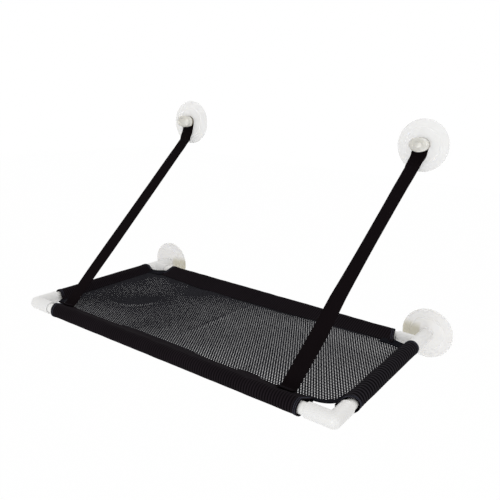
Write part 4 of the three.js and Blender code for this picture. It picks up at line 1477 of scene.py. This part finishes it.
@dataclass
class Sleeve:
    """One cloth sleeve round a rail, drawn to a flap whose seam holds the bed's edge.

    The rail is the X axis, the bed lies towards +Y and the sleeve's ends are slanted lines. The
    section is an arc round the rail and its two tangents to the lips of the seam.

    Attributes:
        side: Name of the rail.
        reach: Distance of the seam from the rail's axis.
        low: First end's stations at the outer side and at the seam.
        high: Last end's stations there.
        turn: Turn about Z in degrees.
        place: Place of the rail's middle.
        wave: Stations and offsets of the wavy seam, or None.
        wave_sign: 1 where the rail's stations run along +X and its bed lies towards +Y, else -1.
        rib_pitch: Distance of raised ribs round the sleeve, or 0 for none.
        finish: Its finish.
        seed: Seed of its wrinkles.
        hem_groove: Depth of the groove beside a hem, distance from the hem's edge, and width.
        flap_bell: Share of the girth where the folds are highest, and their spread.
        pull_bell: Distance from an end where the cloth pulls most, and its spread.
        rib_wander: How far a rib wanders, and over what length.
        seam_thread: Pitch, length and radius of the seam's stitches, and so for hem_thread.
    """

    side: str
    reach: float
    low: Pair
    high: Pair
    turn: float
    place: Triple
    finish: Finish
    seed: int
    wave: Points | None = None
    wave_sign: float = 1.0
    rib_pitch: float = 0.0
    rib_height: float = 0.4
    rows: int = 260
    end_rows: int = 14
    end_length: float = 9.0
    flap_columns: int = 15
    arc_columns: int = 44
    cloth_radius: float = 10.4
    wall: float = 0.5
    lip_gap: float = 0.8
    lip_width: float = 3.0
    lip_thickness: float = 0.35
    hem_width: float = 5.0
    hem_edge: float = 0.8
    hem_thickness: float = 0.35
    hem_groove: Triple = (0.18, 1.3, 0.45)
    hem_flatness: float = 0.7
    wrinkle: float = 0.3
    fold_length: float = 34.0
    fold_share: float = 0.35
    fold_stretch: float = 0.5
    flap_bell: Pair = (0.12, 0.14)
    pull_bell: Pair = (6.0, 7.0)
    pull_share: float = 0.35
    pull_rate: float = 0.55
    rib_wander: Pair = (0.15, 25.0)
    flap_slack: float = 0.35
    seam_thread: Triple = (3.2, 2.3, 0.2)
    hem_thread: Triple = (2.2, 2.0, 0.32)
    hem_rows: tuple[int, ...] = (3, 7, -4, -8)

    def sections(self, reach: Points, lift: Points) -> Points:
        """Sections of the cloth's middle surface, from the upper lip round the rail to the lower.

        A lip's tangent touches the circle at its own bearing plus or minus the angle whose cosine
        is the circle's radius over the lip's distance. Each flap hangs in by a sine.

        Args:
            reach: Distance of the seam at each station.
            lift: Height of the seam at each station.

        Returns:
            Stations by columns by y, z.
        """
        radius = self.cloth_radius
        touches, flaps = [], []
        share = np.linspace(0, 1, self.flap_columns)
        for sign in (1.0, -1.0):
            tip = np.stack([reach, lift + sign * self.lip_gap], axis=-1)
            away = np.hypot(tip[:, 0], tip[:, 1])
            bearing = np.arctan2(tip[:, 1], tip[:, 0]) + sign * np.arccos(radius / away)
            touch = radius * np.stack([np.cos(bearing), np.sin(bearing)], axis=-1)
            line = tip[:, None] + (touch - tip)[:, None] * share[None, :, None]
            facing = np.stack([np.cos(bearing), np.sin(bearing)], axis=-1)[:, None]
            line = line - self.flap_slack * np.sin(np.pi * share)[None, :, None] * facing
            touches.append(bearing)
            flaps.append(line)
        start, end = touches[0], touches[1] + 2 * np.pi
        turn = np.linspace(0, 1, self.arc_columns + 2)[1:-1]
        angle = start[:, None] + (end - start)[:, None] * turn
        around = radius * np.stack([np.cos(angle), np.sin(angle)], axis=-1)
        return np.concatenate([flaps[0], around, flaps[1][:, ::-1]], axis=1)

    def surface(self) -> tuple[Points, Points, Points]:
        """Work out the cloth's middle surface in the rail's own axes.

        Returns:
            Its points, its cloth coordinates and its thickness, each stations by columns.
        """
        mean_length = (sum(self.high) - sum(self.low)) / 2
        edge = self.end_length / mean_length
        inner = np.linspace(edge, 1 - edge, self.rows)
        ends = np.linspace(0, edge, self.end_rows + 1)[:-1]
        share = np.concatenate([ends, inner, 1 - ends[::-1]])[:, None]
        middle = (sum(self.low) * (1 - share[:, 0]) + sum(self.high) * share[:, 0]) / 2
        offset = np.zeros_like(middle)
        if self.wave is not None:
            offset = wave_at(self.wave, middle * self.wave_sign)
        reach = self.reach + WAVE_SLIDE_SHARE * offset * self.wave_sign
        lift = -SIZES.seam_drop + WAVE_LIFT_SHARE * offset
        section = self.sections(reach, lift)
        across = (section[..., 0] + SIZES.sleeve_radius) / (self.reach + SIZES.sleeve_radius)
        low = self.low[0] + (self.low[1] - self.low[0]) * across
        high = self.high[0] + (self.high[1] - self.high[0]) * across
        station = low + (high - low) * share
        mid = np.stack([station, section[..., 0], section[..., 1]], axis=-1)
        steps = np.linalg.norm(np.diff(section, axis=1, prepend=section[:, :1]), axis=2)
        girth = np.cumsum(steps, axis=1)
        outwards, thickness = self.relief(station, girth, np.minimum(station - low, high - station))
        normals = -point_normals(grid_shell(mid)).reshape(mid.shape)
        return mid + normals * outwards[..., None], np.stack([girth, station], axis=-1), thickness

    def relief(self, station: Points, girth: Points, to_end: Points) -> tuple[Points, Points]:
        """Work out the cloth's relief and thickness.

        Folds are a ripple, highest on the flaps. A pull is a sine round the sleeve beside a hem,
        and a rib the absolute value of a sine along the rail. Hems and lips are thicker.

        Args:
            station: Place along the rail.
            girth: Distance round the sleeve from its upper lip.
            to_end: Distance from the nearer end.

        Returns:
            How far the cloth stands out and its thickness, each stations by columns.
        """
        hem = 1 - smooth_step(to_end, self.hem_width - self.hem_edge, self.hem_width)
        column = np.linspace(0, 1, girth.shape[1])[None]
        flap_at, flap_width = self.flap_bell
        at_lip = np.clip(np.minimum(column, 1 - column) / flap_at, 0, 1)
        flap = bump(column, flap_at, flap_width) + bump(column, 1 - flap_at, flap_width)
        folds = ripple(station, girth * self.fold_stretch, self.fold_length, self.seed)
        folds = folds * (self.fold_share + flap) * (1 - self.hem_flatness * hem)
        pull = bump(to_end, *self.pull_bell) * np.sin(girth * self.pull_rate + self.seed)
        outwards = self.wrinkle * at_lip * (folds + self.pull_share * pull)
        if self.rib_pitch:
            wander, wander_length = self.rib_wander
            shifted = station + wander * ripple(station, girth, wander_length, self.seed + 1)
            ribs = np.abs(np.sin(np.pi * shifted / self.rib_pitch))
            outwards = outwards + self.rib_height * (ribs - 0.5) * (1 - hem)
        depth, inwards, width = self.hem_groove
        groove = depth * bump(to_end, self.hem_width - inwards, width)
        lip = 1 - np.clip(np.minimum(girth, girth[:, -1:] - girth) / self.lip_width, 0, 1)
        thickness = self.wall + self.hem_thickness * hem - groove + self.lip_thickness * lip
        return outwards + hem * self.hem_thickness / 2, thickness

    def stitching(self, mid: Points, thickness: Points) -> tuple[Shell, Shell]:
        """Thread rows: one along each flap's seam and two round each hem.

        Args:
            mid: The cloth's middle surface.
            thickness: Its thickness.

        Returns:
            The seam's stitches and the hems' stitches, just on the cloth.
        """
        normals = -point_normals(grid_shell(mid)).reshape(mid.shape)
        outside = mid + normals * (thickness / 2)[..., None]
        seam = [
            stitch_row(outside[6:-6, column], normals[6:-6, column], *self.seam_thread)
            for column in (1, self.flap_columns * 2 + self.arc_columns - 2)
        ]
        hems = [
            stitch_row(outside[row, 2:-2], normals[row, 2:-2], *self.hem_thread)
            for row in self.hem_rows
        ]
        return merged(seam), merged(hems)

    def build(self, paint: Paint) -> None:
        """Make the sleeve and its stitching."""
        mid, cloth, thickness = self.surface()
        shell = thickened(grid_shell(mid, cloth), thickness.ravel()).moved(self.turn, self.place)
        sleeve = make_piece(
            f"{self.side}_sleeve_cloth", shell, paint.of(self.finish), "sleeve_cloth", "frame",
            (f"{self.side}_sleeve",), sharp_degrees=70.0,
        )
        seam, hems = (rows.moved(self.turn, self.place) for rows in self.stitching(mid, thickness))
        name = f"{self.side}_sleeve"
        stitches = [
            make_piece(f"{name}_{kind}_stitches", rows, paint.of(finish), "sleeve_cloth", "frame")
            for kind, rows, finish in (("seam", seam, Finish.THREAD), ("hem", hems, Finish.HEM_THREAD))
        ]
        length = max(self.high) - min(self.low)
        mean_length = (sum(self.high) - sum(self.low)) / 2


def sleeve_ends(half: float, first: Pair, last: Pair) -> tuple[Pair, Pair]:
    """Turn both ends' setbacks from the corners into stations along a rail of this half length."""
    return (first[0] - half, first[1] - half), (half - last[0], half - last[1])


@dataclass
class Sleeves:
    """The four sleeves, each with the setbacks of its first and last end."""

    front: tuple[Pair, Pair] = ((48.5, 37.0), (42.7, 41.0))
    rear: tuple[Pair, Pair] = ((39.0, 26.0), (49.5, 42.0))
    left: tuple[Pair, Pair] = ((28.0, 20.0), (44.0, 38.0))
    right: tuple[Pair, Pair] = ((46.5, 33.0), (22.0, 22.0))

    def build(self, paint: Paint) -> None:
        """Make the front, rear, left and right sleeves."""
        across, deep, middle = SIZES.side_x, (SIZES.rear_y - SIZES.front_y) / 2, SIZES.middle_y
        ribbed = {"rows": 430, "flap_columns": 7, "rib_pitch": 6.5}
        sleeves = [
            Sleeve("front", SIZES.front_seam_reach, *sleeve_ends(across, *self.front), 0,
                   (0, SIZES.front_y, 0), Finish.SLEEVE, 3, wave=FRONT_WAVE),
            Sleeve("rear", SIZES.rear_seam_reach, *sleeve_ends(across, *self.rear), 180,
                   (0, SIZES.rear_y, 0), Finish.SLEEVE, 8, wave=REAR_WAVE, wave_sign=-1.0),
            Sleeve("left", SIZES.side_seam_reach, *sleeve_ends(deep, *self.left), -90,
                   (-across, middle, 0), Finish.SLEEVE, 21, rib_height=0.15, **ribbed),
            # The right sleeve takes the lighter copy of the cloth, whose brighter rib tops are painted
            # light.
            Sleeve("right", SIZES.side_seam_reach, *sleeve_ends(deep, *self.right), 90,
                   (across, middle, 0), Finish.LIT_SIDE_SLEEVE, 34, **ribbed),
        ]
        for sleeve in sleeves:
            sleeve.build(paint)


@dataclass
class Bindings:
    """Folded tapes round the bed's front corners, and doubled gussets at its rear corners."""

    tape_width: float = 5.0
    tape_half: float = 1.15
    tape_wall: float = 0.8
    tape_out: float = 0.3
    tape_bed_inset: float = 2.0
    gusset_wall: float = 0.9
    gusset_hem: float = 0.7
    gusset_left: float = 225.0
    thread: Triple = (2.6, 1.8, 0.16)

    def tape(self, radius: float, front_run: float, side_run: float) -> tuple[Shell, Shell]:
        """A tape folded over the edge of the right-hand front corner.

        Its path is a straight along the front, a quarter circle and a straight along the side. Its
        section is two straights joined by a half circle round the bed's edge.

        Args:
            radius: Radius of the bed's corner.
            front_run: Length of the straight along the front.
            side_run: Length of the straight along the side.

        Returns:
            The tape and its stitches.
        """
        centre = (BED.half_width - radius, BED.front + radius)
        rows, column = 7, 2
        turn = arc((0, 0), 1.0, -90, 0, 26)
        still = np.zeros(rows)
        front = np.stack([np.linspace(-front_run, 0, rows + 1)[:-1], still], axis=-1)
        side = np.stack([still, np.linspace(0, side_run, rows + 1)[1:]], axis=-1)
        out = np.concatenate([np.tile([0.0, -1.0], (rows, 1)), turn, np.tile([1.0, 0.0], (rows, 1))])
        base = np.array(centre) + np.concatenate([front, np.zeros_like(turn), side]) + out * radius
        half = self.tape_half - self.tape_wall / 2
        flat = np.linspace(-self.tape_width, 0, rows)
        fold = arc((0, 0), half, 90, -90, 8)[1:-1]
        offset = np.concatenate([flat, fold[:, 0], flat[::-1]]) + self.tape_out
        level = np.concatenate([np.full(rows, half), fold[:, 1], np.full(rows, -half)])
        plan = base[:, None] + out[:, None] * offset[None, :, None]
        inner = base - out * self.tape_bed_inset
        height = BED.height(inner[:, 0], inner[:, 1])[:, None] + level
        mid = np.concatenate([plan, height[..., None]], axis=-1)
        section_lengths = lengths_along(np.stack([offset, level], axis=-1))
        along = lengths_along(base)
        cloth = np.stack(np.meshgrid(section_lengths, along), axis=-1)
        surface = grid_shell(mid, cloth)
        normals = -point_normals(surface).reshape(mid.shape)[:, column]
        threads = stitch_row(mid[:, column] + normals * self.tape_wall / 2, normals, *self.thread)
        return thickened(surface, self.tape_wall), threads

    def gusset(self) -> tuple[Shell, Shell]:
        """A doubled patch that closes the right-hand rear corner between the two sleeves' ends.

        Its lower edge lies on the mesh, and its upper edge hollows like a parabola round the tee.

        Returns:
            The patch and its stitches.
        """
        rows, columns = 12, 22
        t = np.linspace(0, 1, columns)
        left, right = self.gusset_left, SIZES.side_seam_x + 2.5
        x = left + (right - left) * t
        lower = SIZES.rear_seam_y - 4.5 + 3.0 * t
        upper = SIZES.rear_y - 12.5 - 6.5 * t - 7.0 * t * (1 - t)
        share = np.linspace(0, 1, rows)[:, None]
        y = lower * (1 - share) + upper * share
        grid_x = np.broadcast_to(x, y.shape)
        waves = 0.35 * np.sin(np.pi * share) * np.sin(9 * t)
        rise = BED.height(grid_x, np.minimum(y, BED.rear)) + 1.1 + 1.2 * share**2 + waves
        mid = np.stack([grid_x, y, rise], axis=-1)
        cloth = np.stack([y - y.min(), grid_x - left], axis=-1)
        surface = grid_shell(mid[:, ::-1], cloth[:, ::-1])
        normals = point_normals(surface).reshape(mid.shape)
        hem = self.gusset_hem * smooth_step(share, 0.7, 0.8)
        thickness = np.broadcast_to(self.gusset_wall + hem, y.shape)
        threads = []
        for row in (1, rows - 3):
            line = surface.points.reshape(mid.shape)[row] + normals[row] * (thickness[row] / 2)[:, None]
            threads.append(stitch_row(line, normals[row], *self.thread))
        return thickened(surface, thickness.ravel()), merged(threads)

    def build(self, paint: Paint) -> None:
        """Make the two tapes and the two gussets, with their stitches."""
        tape_paint, thread_paint = paint.of(Finish.BINDING), paint.of(Finish.THREAD)
        right = self.tape(BED.front_right_round, 8.0, 8.0)
        left = [shell.mirrored() for shell in self.tape(BED.front_left_round, 8.0, 16.0)]
        gusset = self.gusset()
        far_gusset = [shell.mirrored() for shell in gusset]
        parts = [
            ("front_right", "tape", *right, (0.0127, 0.063), 0.95),
            ("front_left", "tape", *left, (0.0127, 0.049), 0.95),
            ("rear_right", "gusset", *gusset, (0.0205, 0.0325), 0.85),
            ("rear_left", "gusset", *far_gusset, (0.0205, 0.0325), 0.85),
        ]
        for corner, kind, shell, threads, flat, share in parts:
            stitches = make_piece(
                f"{corner}_{kind}_stitches", threads, thread_paint, "binding_tape", "frame",
            )
            piece = make_piece(
                f"{corner}_{kind}", shell, tape_paint, "binding_tape", "frame",
                (f"{corner}_binding",), sharp_degrees=70.0,
            )


# Straps


@dataclass
class Strap:
    """One webbing strap, from its sewn foot to the cup's head.

    The lower piece is the foot on the front sleeve's flap and the long run up to the fold. The
    upper piece is the doubled tab, whose two layers end round the cup's neck.

    Attributes:
        side: Name of its side.
        sign: 1 on the right, -1 on the left.
        foot_inset: Distance of the foot from the side rail's axis.
        fold_inset: Distance of the fold from the cup's axis.
        twist: Shares of the run, from its foot to its fold, with the webbing's turn in degrees.
        drift: Shares of the run with how far the webbing lies off its straight line along X.
        tab_drift: The same for the tab, from its fold to where it is level with the neck.
        tab_twist: Turn of the tab in degrees, which fades out towards the neck.
        settle: Shares of the run between which it moves out to meet the tab.
        fade: Shares of the tab between which its turn fades out.
        thread: Pitch, length and radius of the stitches.
    """

    side: str
    sign: float
    foot_inset: float
    fold_inset: float
    twist: list[Pair]
    drift: list[Pair]
    tab_drift: list[Pair]
    tab_twist: float = 0.0
    width: float = 22.0
    thickness: float = 1.6
    foot_length: float = 15.0
    foot_lift: float = 0.25
    foot_start: float = 1.0
    foot_end: float = 4.6
    hinge_up: float = 1.8
    hinge_lift: float = 2.2
    bend_length: float = 5.0
    bend_pull: float = 3.4
    run_gap: float = 0.4
    sway: float = 0.35
    settle: Pair = (0.94, 0.995)
    smoothing: int = 7
    fold_y: float = -18.5
    fold_z: float = 254.0
    tab_y: float = -7.9
    tab_pull: Pair = (7.0, 8.0)
    layer_offset: float = 0.82
    level_z: float = 273.5
    fade: Pair = (0.4, 1.0)
    hole: float = 5.8
    columns: int = 12
    thread: Triple = (2.1, 1.6, 0.2)

    @property
    def foot_x(self) -> float:
        """Middle of the foot."""
        return self.sign * (SIZES.side_x - self.foot_inset)

    @property
    def fold(self) -> Points:
        """Middle of the fold at the lower end of the tab."""
        return np.array([self.sign * (SIZES.upper_cup_x - self.fold_inset), self.fold_y, self.fold_z])

    @property
    def up(self) -> Points:
        """Direction of the run, from the hinge to the fold."""
        return unit(self.fold - self.hinge)

    def flap_axes(self) -> tuple[Points, Points, Points]:
        """Where the front sleeve's flap starts at its seam, its way up to the rail and its normal."""
        tip_radius = 1.3
        tip = np.array([SIZES.front_seam_reach - tip_radius, -SIZES.seam_drop])
        spread = math.acos((SIZES.sleeve_radius - tip_radius) / float(np.hypot(*tip)))
        angle = math.atan2(tip[1], tip[0]) + spread
        normal = np.array([math.cos(angle), math.sin(angle)])
        start = tip + normal * tip_radius
        rise = unit(normal * SIZES.sleeve_radius - start)
        return start + np.array([SIZES.front_y, 0]), rise, normal

    def on_flap(self, distance: float, lift: float) -> Points:
        """A point at the foot's middle, a distance up the flap from its seam and above its cloth."""
        start, rise, normal = self.flap_axes()
        return np.array([self.foot_x, *(start + rise * distance + normal * lift)])

    @property
    def hinge(self) -> Points:
        """The sewn bend that the run swings about."""
        return self.on_flap(self.hinge_up, self.hinge_lift + self.thickness / 2)

    def band(self, path: Points, turn: Points | None = None) -> Points:
        """Middle surface of webbing along a path, its width along X but for a turn about the path.

        Args:
            path: Middle of the webbing.
            turn: Its turn at each point in degrees, or None.

        Returns:
            Points along by across by x, y, z.
        """
        share = np.linspace(-0.5, 0.5, self.columns + 1)
        across = np.broadcast_to(X_AXIS, path.shape)
        if turn is not None:
            normal = unit(np.cross(X_AXIS, unit(np.gradient(path, axis=0))))
            angle = np.radians(turn)[:, None]
            across = np.cos(angle) * X_AXIS + np.sin(angle) * normal
        return path[:, None] + share[None, :, None] * self.width * across[:, None]

    def cloth_of(self, surface: Points) -> Points:
        """Cloth coordinates of a band: across its width and along its middle."""
        middle = surface[:, surface.shape[1] // 2]
        along = np.broadcast_to(lengths_along(middle)[:, None], surface.shape[:2])
        across = np.broadcast_to(np.linspace(-0.5, 0.5, surface.shape[1]) * self.width, along.shape)
        return np.stack([across, along], axis=-1)

    def lower_path(self) -> tuple[Points, Points]:
        """Foot, sewn bend and run: two straights joined by a cubic curve.

        Returns:
            The path and the webbing's turn about it in degrees.
        """
        lift = self.thickness / 2 + self.foot_lift
        _, rise, _ = self.flap_axes()
        toe = self.on_flap(self.foot_start + self.foot_length, lift)
        heel = self.on_flap(self.foot_end, lift)
        up, pull = self.up, self.bend_pull
        above = self.hinge + up * self.bend_length
        back = np.array([0.0, *(-rise)])
        foot = toe + (heel - toe) * np.linspace(0, 1, 9)[:-1, None]
        bend = bezier([heel, heel + back * pull, above - up * pull, above], 16)[:-1]
        top = self.fold - up * self.run_gap
        slack = np.linspace(0, 1, 70)[:, None]
        run = above + (top - above) * slack
        settle = smooth_step(slack, *self.settle) * self.thickness / 2
        normal = np.array([0.0, -up[2], up[1]])
        sway = self.sway * np.sin(np.pi * slack) * np.array([0.0, 1.0, -1.0])
        drift = np.interp(slack, *np.array(self.drift).T) * X_AXIS
        turn = np.interp(slack[:, 0], *np.array(self.twist).T)
        window = np.full(self.smoothing, 1 / self.smoothing)
        turn = np.convolve(np.pad(turn, self.smoothing // 2, mode="edge"), window, mode="valid")
        path = np.concatenate([foot, bend, run + normal * settle + sway + drift])
        return path, np.concatenate([np.zeros(len(foot) + len(bend)), turn])

    def tab_path(self) -> Points:
        """Middle of the tab, from the fold to where it is level with the cup's neck."""
        level = np.array([self.sign * SIZES.upper_cup_x, self.tab_y, self.level_z])
        away, down = self.tab_pull
        below = level - np.array([0, 0, down])
        path = bezier([self.fold, self.fold + self.up * away, below, level], 18)
        drift = np.interp(np.linspace(0, 1, len(path)), *np.array(self.tab_drift).T)
        return path + drift[:, None] * X_AXIS

    def tab_layer(self, offset: float, below: float) -> Shell:
        """One layer of the tab: a band up to the neck and a plate with a round end and a hole.

        The plate is a ring of faces from the hole's circle to the plate's outline, whose lowest
        edge has the band's own points.

        Args:
            offset: Distance of the layer from the tab's middle, towards the front.
            below: How far the layer starts below the fold.

        Returns:
            The layer's middle surface.
        """
        path = self.tab_path()
        if below > 0:
            under = [self.fold - self.up * below, self.fold - self.up * below / 2]
            path = np.concatenate([under, path])
        tangent = unit(np.gradient(path, axis=0))
        front = unit(tangent[:, [0, 2, 1]] * [0.0, -1.0, 1.0])
        front[-1] = [0.0, -1.0, 0.0]
        turn = self.tab_twist * (1 - smooth_step(np.linspace(0, 1, len(path)), *self.fade))
        band = self.band(path + front * offset, turn)
        half, centre = self.width / 2, np.array([self.sign * SIZES.upper_cup_x, SIZES.upper_cup_z])
        bottom = band[-1][:, [0, 2]]
        rise = np.linspace(0, 1, 7)
        side = np.array([half, 0])
        right = bottom[-1] + (centre + side - bottom[-1]) * rise[1:, None]
        left = bottom[0] + (centre - side - bottom[0]) * rise[1:, None]
        crown = arc(tuple(centre), half, 0, 180, 28)[1:-1]
        outline = np.concatenate([bottom, right, crown, left[::-1]])
        bearing = np.arctan2(outline[:, 1] - centre[1], outline[:, 0] - centre[0])
        circle = centre + self.hole * np.stack([np.cos(bearing), np.sin(bearing)], axis=-1)
        plan = circle + (outline - circle) * rise[:, None, None]
        plate = np.insert(plan, 1, band[-1, 0, 1], axis=-1)
        faces = grid_faces(*plan.shape[:2], close_columns=True)
        cloth = plan - np.array([centre[0], self.level_z])
        lower = grid_shell(band, self.cloth_of(band) - np.array([0, lengths_along(path)[-1]]))
        upper = Shell(plate.reshape(-1, 3), [faces[:, ::-1]], cloth.reshape(-1, 2))
        return welded(merged([lower, upper]))

    def build(self, paint: Paint) -> None:
        """Make the lower webbing, the tab and their stitches."""
        webbing, thread = paint.of(Finish.WEBBING), paint.of(Finish.THREAD)
        strap = f"{self.side}_strap"
        run, end = f"{strap}_run", f"{strap}_end"
        path, turn = self.lower_path()
        surface = self.band(path, turn)
        surface = grid_shell(surface, self.cloth_of(surface))
        lower = make_piece(
            f"{strap}_webbing", thickened(surface, self.thickness), webbing, "webbing",
            replaces=(strap, f"{strap}_foot"), sharp_degrees=60.0,
        )
        offset = self.layer_offset
        layers = [self.tab_layer(offset, 5.0), self.tab_layer(-offset, 0.0)]
        tab = make_piece(
            f"{strap}_tab_webbing", merged([thickened(layer, self.thickness) for layer in layers]),
            webbing, "webbing", replaces=(f"{strap}_tab",), sharp_degrees=60.0,
        )
        foot_stitches = make_piece(
            f"{strap}_foot_stitches", self.foot_threads(), thread, "webbing", "frame",
        )
        tab_stitches = make_piece(f"{strap}_tab_stitches", self.tab_threads(), thread, "webbing", run)
        hinge, fold, step = self.hinge * MILLIMETRE, self.fold * MILLIMETRE, self.up * MILLIMETRE
        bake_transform(lower)
        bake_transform(tab)
        total = float(lengths_along(path)[-1]) * MILLIMETRE

    def foot_threads(self) -> Shell:
        """Box of stitches with a cross in it, on the foot."""
        _, _, normal = self.flap_axes()
        lift = self.thickness + 0.3
        half = self.width / 2 - 2.0
        near, far = 6.0, self.foot_length - 0.6
        corners = [
            self.on_flap(distance, lift) + X_AXIS * x
            for x, distance in ((-half, near), (half, near), (half, far), (-half, far))
        ]
        share = np.linspace(0, 1, 12)[:, None]
        facing = np.tile([0.0, *normal], (len(share), 1))
        return merged([
            stitch_row(corners[start] + (corners[end] - corners[start]) * share, facing, *self.thread)
            for start, end in ((0, 1), (1, 2), (2, 3), (3, 0), (0, 2), (1, 3))
        ])

    def tab_threads(self) -> Shell:
        """Two rows of stitches across the tab's front layer, below its fold."""
        up = self.up
        front = np.array([0.0, -up[2], up[1]])
        across = np.linspace(-0.5, 0.5, 12)[:, None] * (self.width - 3.0) * X_AXIS
        out = front * (self.layer_offset + self.thickness / 2)
        facing = np.tile(front, (len(across), 1))
        return merged([
            stitch_row(self.fold - up * below + out + across, facing, *self.thread)
            for below in (3.6, 1.4)
        ])


# Stage, light and camera


@dataclass
class Studio:
    """Pale floor, white surroundings, soft lamps and the photograph's camera."""

    floor_drop: float = 0.9
    floor_size: float = 16.0
    floor_colour: Triple = (0.9, 0.9, 0.9)
    floor_roughness: float = 0.9
    floor_white_share: float = 0.985
    ambient: Triple = (1.0, 0.985, 0.955)
    ambient_strength: float = 0.79
    lens: float = 41.52
    sensor_width: float = 36.0
    clip: Pair = (0.02, 60.0)
    eye: Triple = (0.5072, -0.8546, 0.3559)
    right: Triple = (0.8173, 0.5739, 0.0517)
    forward: Triple = (-0.5416, 0.7958, -0.2710)
    lamp_colour: Triple = (0.96, 0.985, 1.0)
    lamp_target: Triple = (0.0, -0.18, 0.08)
    lamps: list[tuple[str, Triple, float, float]] = field(default_factory=lambda: [
        ("overhead", (0.1, -1.2, 1.9), 1.4, 0.8),
        ("side", (1.9, -0.7, 0.5), 1.6, 3.4),
        ("back", (0.3, 1.6, 1.3), 1.4, 4.5),
        ("front", (0.35, -1.75, 0.0), 0.3, 5.0),
    ])

    def seen(self, nodes: Nodes) -> Socket:
        """Return one for camera, glossy and transmission rays, and zero for the others."""
        path = nodes.add("LightPath").outputs
        sharp = nodes.math("MAXIMUM", path["Is Glossy Ray"], path["Is Transmission Ray"])
        return nodes.math("MAXIMUM", path["Is Camera Ray"], sharp)

    def world(self) -> None:
        """White surroundings for what is seen or mirrored, and a plain soft light for the rest."""
        world = bpy.data.worlds.new("surroundings")
        world.use_nodes = True
        nodes = Nodes(world.node_tree)
        light = world.node_tree.nodes["Background"]
        nodes.fill(light, {"Color": self.ambient, "Strength": self.ambient_strength})
        white = nodes.add("Background", {"Color": (1.0, 1.0, 1.0), "Strength": 1.0})
        nodes.surface(self.seen(nodes), light, white, "World Output")
        bpy.context.scene.world = world

    def floor(self) -> None:
        """A pale floor well below the perch, which keeps a faint shadow."""
        material, nodes, shader = principled("pale floor")
        nodes.fill(shader, {
            "Base Color": self.floor_colour, "Roughness": self.floor_roughness,
            "Specular IOR Level": 0.0,
        })
        share = nodes.math("MULTIPLY", self.seen(nodes), self.floor_white_share)
        nodes.surface(share, shader, nodes.add("Emission"), "Material Output")
        half = self.floor_size / 2
        corners = [(-half, -half), (half, -half), (half, half), (-half, half)]
        mesh = bpy.data.meshes.new("floor")
        mesh.from_pydata([(x, y, -self.floor_drop) for x, y in corners], [], [(0, 1, 2, 3)])
        mesh.materials.append(material)
        floor = placed("floor", mesh)
        floor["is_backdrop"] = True

    def light(self) -> None:
        """Large square lamps that face the perch."""
        for name, place, size, power in self.lamps:
            lamp = bpy.data.lights.new(name, "AREA")
            lamp.shape, lamp.size, lamp.energy = "SQUARE", size, power
            lamp.color = self.lamp_colour
            holder = placed(name, lamp)
            holder.location = place
            towards = Vector(self.lamp_target) - Vector(place)
            holder.rotation_euler = towards.to_track_quat("-Z", "Y").to_euler()

    def camera(self) -> None:
        """The camera that the photograph's proportions were measured with."""
        data = bpy.data.cameras.new("view")
        data.lens, data.sensor_width = self.lens, self.sensor_width
        data.clip_start, data.clip_end = self.clip
        holder = placed("view", data)
        right, forward = Vector(self.right).normalized(), Vector(self.forward).normalized()
        up = right.cross(forward)
        turn = Matrix((right, up, -forward)).transposed().to_4x4()
        holder.matrix_world = Matrix.Translation(self.eye) @ turn
        bpy.context.scene.camera = holder

    def build(self) -> None:
        """Make the stage."""
        self.world()
        self.floor()
        self.light()
        self.camera()
        bpy.context.scene.view_settings.view_transform = "Standard"


def write_sizes() -> None:
    """Write the CAD box and the visual model's box as plain lists, in metres."""
    boxes = {"cad": cad_box, "visual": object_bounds()}
    plain = {name: [[round(value, 5) for value in corner] for corner in box] for name, box in boxes.items()}
    log.info("boxes: %s", plain)


def main() -> None:
    """Build the perch in order, then its stage."""
    logging.basicConfig(level=logging.INFO, format="%(name)s: %(message)s")
    paint = Paint()
    Studio().build()
    Fittings().build(paint)
    Cups().build(paint)
    MeshNet().build(paint)
    Sleeves().build(paint)
    Bindings().build(paint)
    Strap(
        "left", -1.0, 47.0, 1.0, tab_drift=[(0, 0), (0.3, -3.0), (0.6, -3.2), (1, -1.8)],
        twist=[(0, 0), (0.1, -2), (0.3, -4.5), (0.5, -3), (0.9, -1.5), (1, 0)],
        drift=[(0, 0), (0.15, -1.2), (0.9, -1.0), (1, 0)],
    ).build(paint)
    Strap(
        "right", 1.0, 76.0, 6.0, tab_drift=[(0, 0), (0.3, -1.8), (0.6, -3.0), (1, -2.2)], tab_twist=8.0,
        twist=[(0, 0), (0.06, -7), (0.21, -7), (0.36, 3), (0.45, 9), (0.6, 13), (0.8, 12), (0.95, 8),
               (1, 7)],
        drift=[(0, 0), (0.21, 0), (0.36, -2.2), (0.65, -1.7), (0.9, -1.1), (1, 0)],
    ).build(paint)
    write_sizes()


if __name__ == "__main__":
    main()
